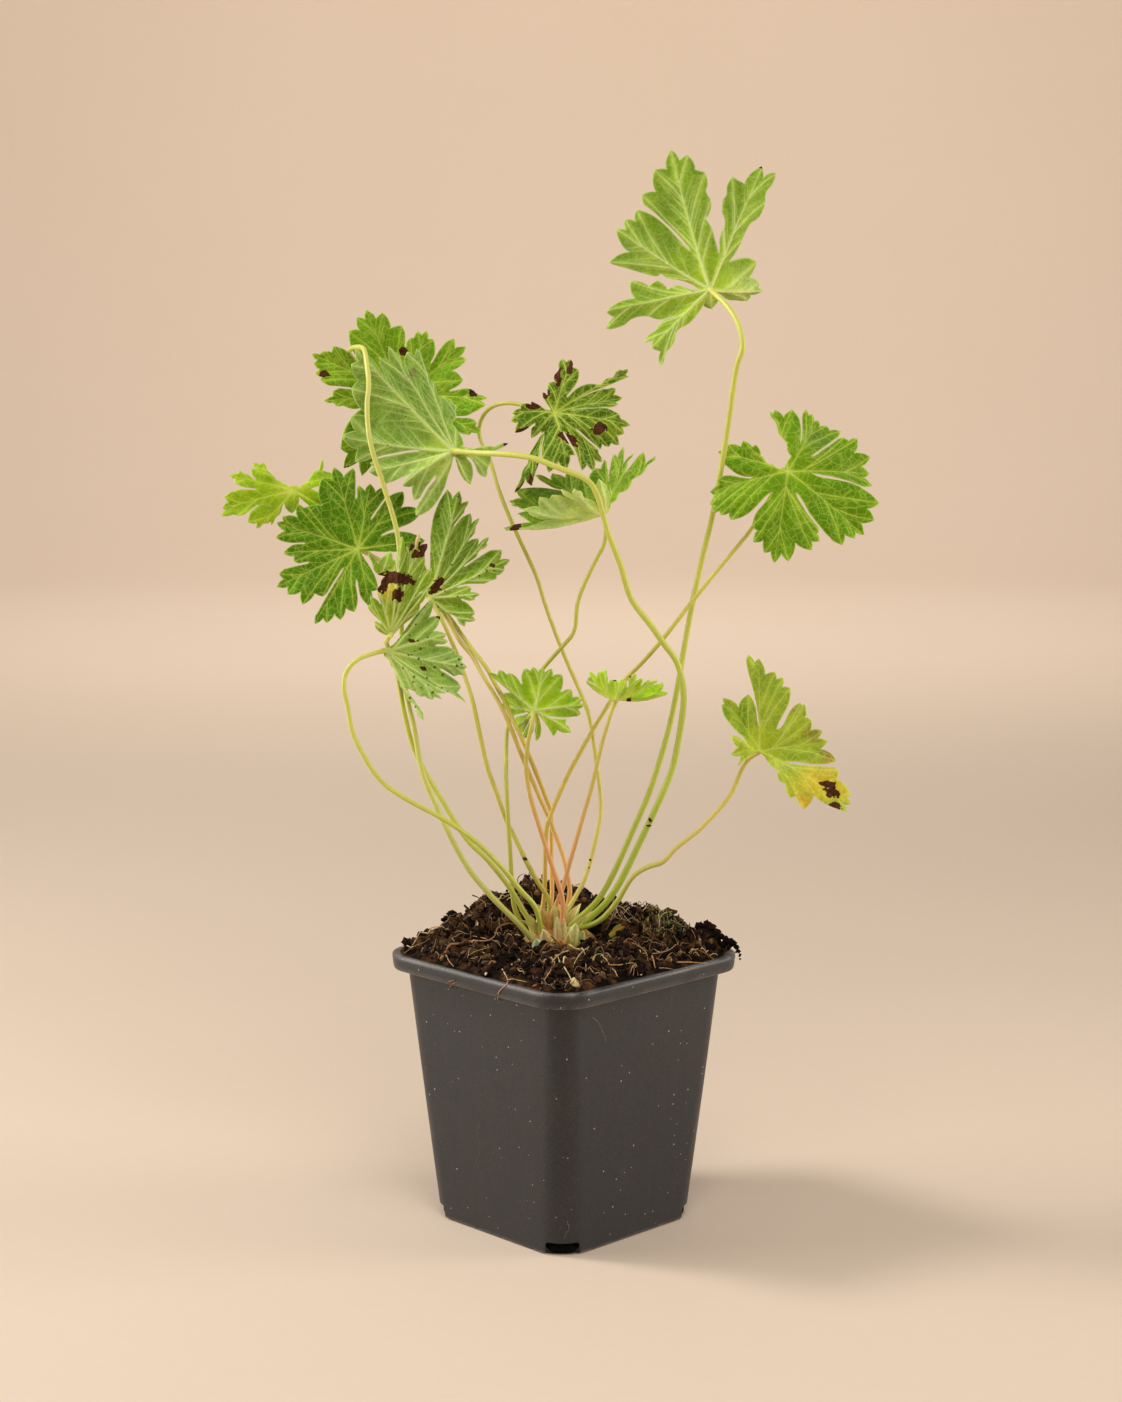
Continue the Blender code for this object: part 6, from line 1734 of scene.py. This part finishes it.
# The blades
def fill_points(edge, veins, step, seed):
    """Points inside the flat edge, in mm: on and beside the veins, and a loose grid between."""
    rng = np.random.default_rng(seed)
    lines = []
    for line in veins:
        line = resample(line, VEIN_STEP)
        side = unit(np.gradient(line, axis=0))[:, ::-1] * np.array([-1, 1])
        lines += [line, line + side * VEIN_HALF, line - side * VEIN_HALF]
    lines = np.concatenate(lines)
    lines = lines[inside(edge, lines)]
    lines = lines[far_enough(lines, edge, VEIN_CELL)]
    chosen = thin_out(lines, VEIN_CELL)
    low, high = edge.min(0), edge.max(0)
    rows = np.arange(low[1], high[1], step * TRIANGLE_RISE)
    grid = []
    for k, y in enumerate(rows):
        x = np.arange(low[0] + 0.5 * step * (k % 2), high[0], step)
        grid.append(np.stack([x, np.full(len(x), y)], 1))
    grid = np.concatenate(grid)
    grid = grid + rng.uniform(-0.15, 0.15, grid.shape) * step
    grid = grid[inside(edge, grid)]
    grid = grid[far_enough(grid, edge, step * 0.45)]
    grid = grid[far_enough(grid, chosen, step * 0.5)]
    return np.concatenate([chosen, grid])


def path_lengths(line):
    """How far along a line each of its points lies."""
    return np.concatenate([[0], np.cumsum(np.linalg.norm(np.diff(line, axis=0), axis=1))])


def resample(line, step):
    """The flat line as points that many mm apart."""
    far = path_lengths(line)
    count = max(2, int(far[-1] / step) + 1)
    where = np.linspace(0, far[-1], count)
    return np.stack([np.interp(where, far, line[:, k]) for k in range(2)], 1)


def inside(edge, points):
    """Which points lie inside the closed edge."""
    a = edge
    b = np.roll(a, -1, axis=0)
    x, y = points[:, 0][:, None], points[:, 1][:, None]
    crosses = (a[:, 1] > y) != (b[:, 1] > y)
    rise = np.where(np.abs(b[:, 1] - a[:, 1]) < 1e-9, 1e-9, b[:, 1] - a[:, 1])
    at = a[:, 0] + (y - a[:, 1]) / rise * (b[:, 0] - a[:, 0])
    return (crosses & (x < at)).sum(1) % 2 == 1


def far_enough(points, others, least):
    """Which points lie further than least from all the others."""
    keep = np.ones(len(points), bool)
    for start in range(0, len(others), BLOCK):
        block = others[start:start + BLOCK]
        d = ((points[:, None] - block[None]) ** 2).sum(2).min(1)
        keep &= d > least ** 2
    return keep


def thin_out(points, cell):
    """One of the points in each small cell."""
    keys = np.round(points / cell).astype(int)
    _, first = np.unique(keys, axis=0, return_index=True)
    return points[np.sort(first)]


def line_distance(points, line):
    """Each point's distance to a line, and how far along the line its nearest place is."""
    a, b = line[:-1], line[1:]
    span = b - a
    size = np.maximum((span ** 2).sum(1), 1e-12)
    t = np.clip(((points[:, None] - a) * span).sum(2) / size, 0, 1)
    near = a + t[..., None] * span
    d = np.linalg.norm(points[:, None] - near, axis=2)
    best = d.argmin(1)
    share = (best + t[np.arange(len(points)), best]) / len(a)
    return d[np.arange(len(points)), best], share


def vein_lines(blade, edge, seed):
    """The flat lines of the midribs, of the veins to the teeth, and of the faint ones between."""
    rng = random.Random(seed)
    mains, sides, faint = [], [], []
    for k in range(len(blade.length)):
        length, angle = blade.length[k] / MM, blade.angle[k]
        rib = to_flat((1.0, angle))
        across = quarter_turn(rib)
        mains.append(np.array([rib * length * s for s in np.linspace(0.01, 0.97, 12)]))
        for place in blade.teeth(k):
            tip = to_flat(place) / MM
            along, off = tip @ rib, tip @ across
            if abs(off) < 0.4:
                continue
            start = max(0.16 * length, along - abs(off) * rng.uniform(1.6, 2.3))
            sides.append(side_vein(rib * start, tip * 0.985, rib, 0.5))
        for start_share in np.linspace(0.22, 0.72, max(2, int(length / 6))):
            for side in (-1, 1):
                start = rib * length * (start_share + rng.uniform(-0.03, 0.03))
                heading = rib * rng.uniform(0.75, 1.0) + across * side * rng.uniform(0.4, 0.7)
                reach = 0.32 * length
                end = start + heading * reach
                while reach > 1.0 and not inside(edge, end[None])[0]:
                    reach *= 0.85
                    end = start + heading * reach
                faint.append(side_vein(start, start + heading * reach * 0.9, rib, 0.35))
    return mains, sides, faint


def side_vein(start, end, rib, sweep):
    """A side vein's gentle curve: it leaves its midrib steeply and turns outwards."""
    middle = (start + end) / 2 + rib * sweep * 0.18 * np.linalg.norm(end - start)
    t = np.linspace(0, 1, 9)[:, None]
    return (1 - t) ** 2 * start + 2 * t * (1 - t) * middle + t ** 2 * end


def vertex_normals(points, faces):
    normals = np.zeros_like(points)
    a, b, c = (points[faces[:, k]] for k in range(3))
    cross = np.cross(b - a, c - a)
    for k in range(3):
        np.add.at(normals, faces[:, k], cross)
    return unit(normals)


def waves(points, seed, scale):
    """A smooth made-up relief, from a few crossing waves."""
    rng = random.Random(seed)
    total = np.zeros(len(points))
    for _ in range(5):
        ahead = to_flat((1.0, rng.uniform(0, 2 * math.pi)))
        wave = points @ ahead / (scale * rng.uniform(0.7, 1.6))
        total += np.sin(wave * 2 * math.pi + rng.uniform(0, 6.3)) / 5
    return total


def triangles(edge, inner):
    """The flat points and faces of a blade, in mm."""
    flat = [Vector(p) for p in np.concatenate([edge, inner])]
    points, _, faces, _, _, _ = delaunay_2d_cdt(flat, ring_pairs(0, len(edge)), [], 1, 1e-4)
    points = np.array([tuple(p) for p in points])
    used = sorted({k for face in faces for k in face})
    number = np.zeros(len(points), int)
    number[used] = np.arange(len(used))
    flat_faces = []
    for face in faces:
        for k in range(1, len(face) - 1):
            flat_faces.append((face[0], face[k], face[k + 1]))
    faces = number[np.array(flat_faces)]
    points = points[used]
    (ax, ay), (bx, by), (cx, cy) = (points[faces[:, k]].T for k in range(3))
    turned = (bx - ax) * (cy - ay) - (by - ay) * (cx - ax) < 0
    faces[turned] = faces[turned][:, ::-1]
    return points, faces


def ellipse_reach(shown, x, y, rx, ry, turn):
    """How far each pixel is out from an ellipse's middle: 1 on its edge."""
    c, s = math.cos(math.radians(turn)), math.sin(math.radians(turn))
    dx, dy = shown[:, 0] - x, shown[:, 1] - y
    return np.hypot((dx * c + dy * s) / rx, (dy * c - dx * s) / ry)


def spot_field(shown, spots):
    """How deep each pixel lies in the dead spots: above 0 inside one, 1 at its middle."""
    field = np.full(len(shown), -1.0)
    for spot in spots:
        field = np.maximum(field, 1 - ellipse_reach(shown, *spot))
    return field


def tinted(base, shown, patches):
    """The base colour with the soft patches laid over it."""
    colour = np.tile(np.array(srgb(*base)), (len(shown), 1))
    for *ellipse, patch, strength in patches:
        share = np.clip(1.4 * (1 - ellipse_reach(shown, *ellipse)), 0, 1)[:, None] * strength
        colour = blend(colour, srgb(*patch), share)
    return colour


def vein_field(points, lines, width, narrowing, strength, fading):
    """The points' distance to the nearest of the lines, and how strongly these show there."""
    far, field = np.full(len(points), 99.0), np.zeros(len(points))
    for line in lines:
        d, share = line_distance(points, line)
        far = np.minimum(far, d)
        ridge = np.exp(-(d / (width - narrowing * share)) ** 2)
        field = np.maximum(field, ridge * (strength - fading * share))
    return far, field


def skin_faces(faces, n):
    """The faces of a closed skin: an upper and a lower sheet of n points, and the strip between."""
    upper = [tuple(f) for f in faces.tolist()]
    lower = [(a + n, c + n, b + n) for a, b, c in upper]
    edges = {pair for a, b, c in upper for pair in ((a, b), (b, c), (c, a))}
    strip = [(b, a, a + n, b + n) for a, b in sorted(edges) if (b, a) not in edges]
    return upper + lower + strip


def make_leaf(name, mats, seed):
    """One blade: a closed thin skin with keeled lobes, sunken veins above and raised ones below."""
    plan, look = LEAVES[name], LEAF_LOOKS[name]
    blade = Blade(plan)
    edge = blade.outline() / MM
    mains, sides, faint = vein_lines(blade, edge, seed)
    step = LEAF_STEP * 1
    points, faces = triangles(edge, fill_points(edge, mains + sides + faint, step, seed))
    radius, angle = blade.unwrap(points[:, 0], points[:, 1])
    middle = blade.place(radius * MM, angle)
    main_far, main_vein = vein_field(points, mains, *MAIN_VEIN)
    side_far, side_vein = vein_field(points, sides, *SIDE_VEIN)
    faint_far, faint_vein = vein_field(points, faint, *FAINT_VEIN)
    side_vein = np.maximum(side_vein, faint_vein)
    rim_far = np.full(len(points), 99.0)
    closed = np.concatenate([edge, edge[:1]])
    for start in range(0, len(edge), RIM_BLOCK):
        d, _ = line_distance(points, closed[start:start + RIM_BLOCK + 1])
        rim_far = np.minimum(rim_far, d)
    vein = np.maximum(main_vein, side_vein)
    mean_length = blade.length.mean() / MM
    outward = np.clip(radius / mean_length, 0, 1.2)
    keel = KEEL * (np.sqrt(main_far ** 2 + 0.16) - 0.4) * np.clip(radius / 6, 0, 1)
    between = 1 - np.exp(-(np.minimum(side_far, main_far) / 1.1) ** 2)
    between *= 0.7 + 0.3 * (1 - np.exp(-(faint_far / 0.5) ** 2))
    pucker = PUCKER * between * np.clip(rim_far / 1.5, 0, 1)
    wave = 0.55 * waves(points, seed, 13) * outward + 0.22 * waves(points, seed + 50, 5) * outward
    curl = EDGE_CURL * np.exp(-(rim_far / 1.3) ** 2) * (0.4 + waves(points, seed + 90, 9))
    height = np.minimum(keel, HIGHEST_KEEL) + pucker - VEIN_SINK * vein + wave + curl
    middle = middle + vertex_normals(middle, faces) * height[:, None] * MM
    normals = vertex_normals(middle, faces)
    thin = BLADE / 2 * (0.35 + 0.65 * (1 - np.exp(-(rim_far / 0.35) ** 2)))
    rib = (0.34 * main_vein + 0.1 * side_vein) * MM
    above = middle + normals * thin[:, None]
    below = middle - normals * (thin + rib)[:, None]
    n = len(points)
    skin = skin_faces(faces, n)
    leaf = mesh_piece(name + "_blade", np.concatenate([above, below]), skin, mats, [name])
    under = np.zeros(len(skin), np.int32)
    under[len(faces):2 * len(faces)] = 1
    leaf.data.polygons.foreach_set("material_index", under)
    shown = pixel(middle)
    flat = np.concatenate([points, np.zeros((n, 1))], axis=1) + np.array([seed * 37.0, 0, 0])
    set_vector(leaf, "Flat", np.tile(flat, (2, 1)))
    dots, spots = np.full(n, look["dots"]), spot_field(shown, look["spots"])
    for key, values in (("Vein", vein), ("Between", between), ("Rim", rim_far), ("Dots", dots),
                        ("Spot", spots)):
        set_float(leaf, key, np.tile(values, 2))
    hub = np.exp(-(radius / (0.42 * mean_length)) ** 2)[:, None] * np.array(HUB_PAINTED_GLOW) + 1
    for key in ("upper", "under"):
        colour = tinted(look[key], shown, look["patches"]) * hub
        set_colour(leaf, key.capitalize(), np.tile(colour, (2, 1)))
    return leaf


# The stalks
def smooth_curve(points):
    """A smooth curve through the points, as many closely spaced points."""
    fine = smooth_line(points, CURVE_STEPS)
    for _ in range(SMOOTHINGS):
        fine[1:-1] = (fine[:-2] + 2 * fine[1:-1] + fine[2:]) / 4
    return fine


def stalk_route(plan, blade):
    """A stalk's middle line: from inside the crown to the underside of its blade."""
    radius = plan["thick"] * MM / 2
    route = [seen(*place) for place in plan["route"]]
    foot = np.array(plan["foot"]) * MM
    size = np.array(CROWN_SIZE)
    rise = math.sqrt(1 - (foot[0] / size[0])**2 - (foot[1] / size[1])**2)
    start = np.array(CROWN_CENTRE) + np.array([foot[0], foot[1], size[2] * rise])
    below = start - unit(route[0] - start) * STALK_SINK
    end = blade.at - blade.normal * (BLADE / 2 + 0.6 * radius)
    return [below, start] + route + [end]


def make_stalk(name, mat, seed):
    """A stalk: a long tube, a little swollen at both ends, with its colour changing along it."""
    rng = random.Random(seed)
    plan = STALKS[name]
    blade = Blade(LEAVES[name.replace("stem", "leaf")])
    line = smooth_curve(stalk_route(plan, blade))
    far = path_lengths(line)
    total = far[-1]
    share = far / total
    radius = plan["thick"] * MM / 2 * (1.08 - 0.2 * share)
    radius *= 1 + 0.18 * np.exp(-(share * total / (5 * MM)) ** 2)
    radius *= 1 + 0.22 * np.exp(-((1 - share) * total / (3 * MM)) ** 2)
    radius *= 1 + 0.07 * np.array([noise.noise(Vector(p) * 120) for p in line])
    low, high, turn = STALK_LOOKS.get(name, STALK_PLAIN)
    shares = 1 / (1 + np.exp(-(share - turn) * 9))[:, None]
    tints = blend(srgb(*low), srgb(*high), shares)
    batch = Batch()
    vertices, faces = tube(line, radius, STALK_SIDES)
    ring_tints = np.repeat(tints, STALK_SIDES, axis=0)
    batch.add(vertices, faces, np.concatenate([ring_tints, tints[:1], tints[-1:]]))
    for x, y, size in STALK_CRUMBS.get(name, ()):
        spot = line[np.linalg.norm(pixel(line) - np.array([x, y]), axis=1).argmin()]
        centre = Vector(spot) + Vector((rng.uniform(-0.5, 0.5), -1, 0.2)) * plan["thick"] * MM / 2
        batch.add(*crumb(rng, centre, size * MM), PEAT_DARK)
    return batch.piece(name + "_stalk", [mat], [name])


def main():
    make_camera()
    make_floor()
    make_lights()
    pot = make_pot()
    make_foot_bulges()
    soil = make_soil()
    make_roots(surface_of([pot, soil]))
    make_crown()
    glossy = leaf_material("leaf_upper", "Upper", 0.95, 0.26, 0.5, VEIN_ABOVE, -1.0)
    matte = leaf_material("leaf_under", "Under", 0.9, 0.16, 0.62, VEIN_BELOW, 1.0)
    green = stalk_material()
    for k, name in enumerate(LEAVES):
        make_leaf(name, [glossy, matte], k + 1)
        make_stalk(name.replace("leaf", "stem"), green, k + 201)


def surface_of(objects):
    """One ray-casting tree over several pieces."""
    vertices, faces = [], []
    for obj in objects:
        first = len(vertices)
        vertices += [v.co.copy() for v in obj.data.vertices]
        faces += [tuple(first + k for k in p.vertices) for p in obj.data.polygons]
    return BVHTree.FromPolygons(vertices, faces)


main()
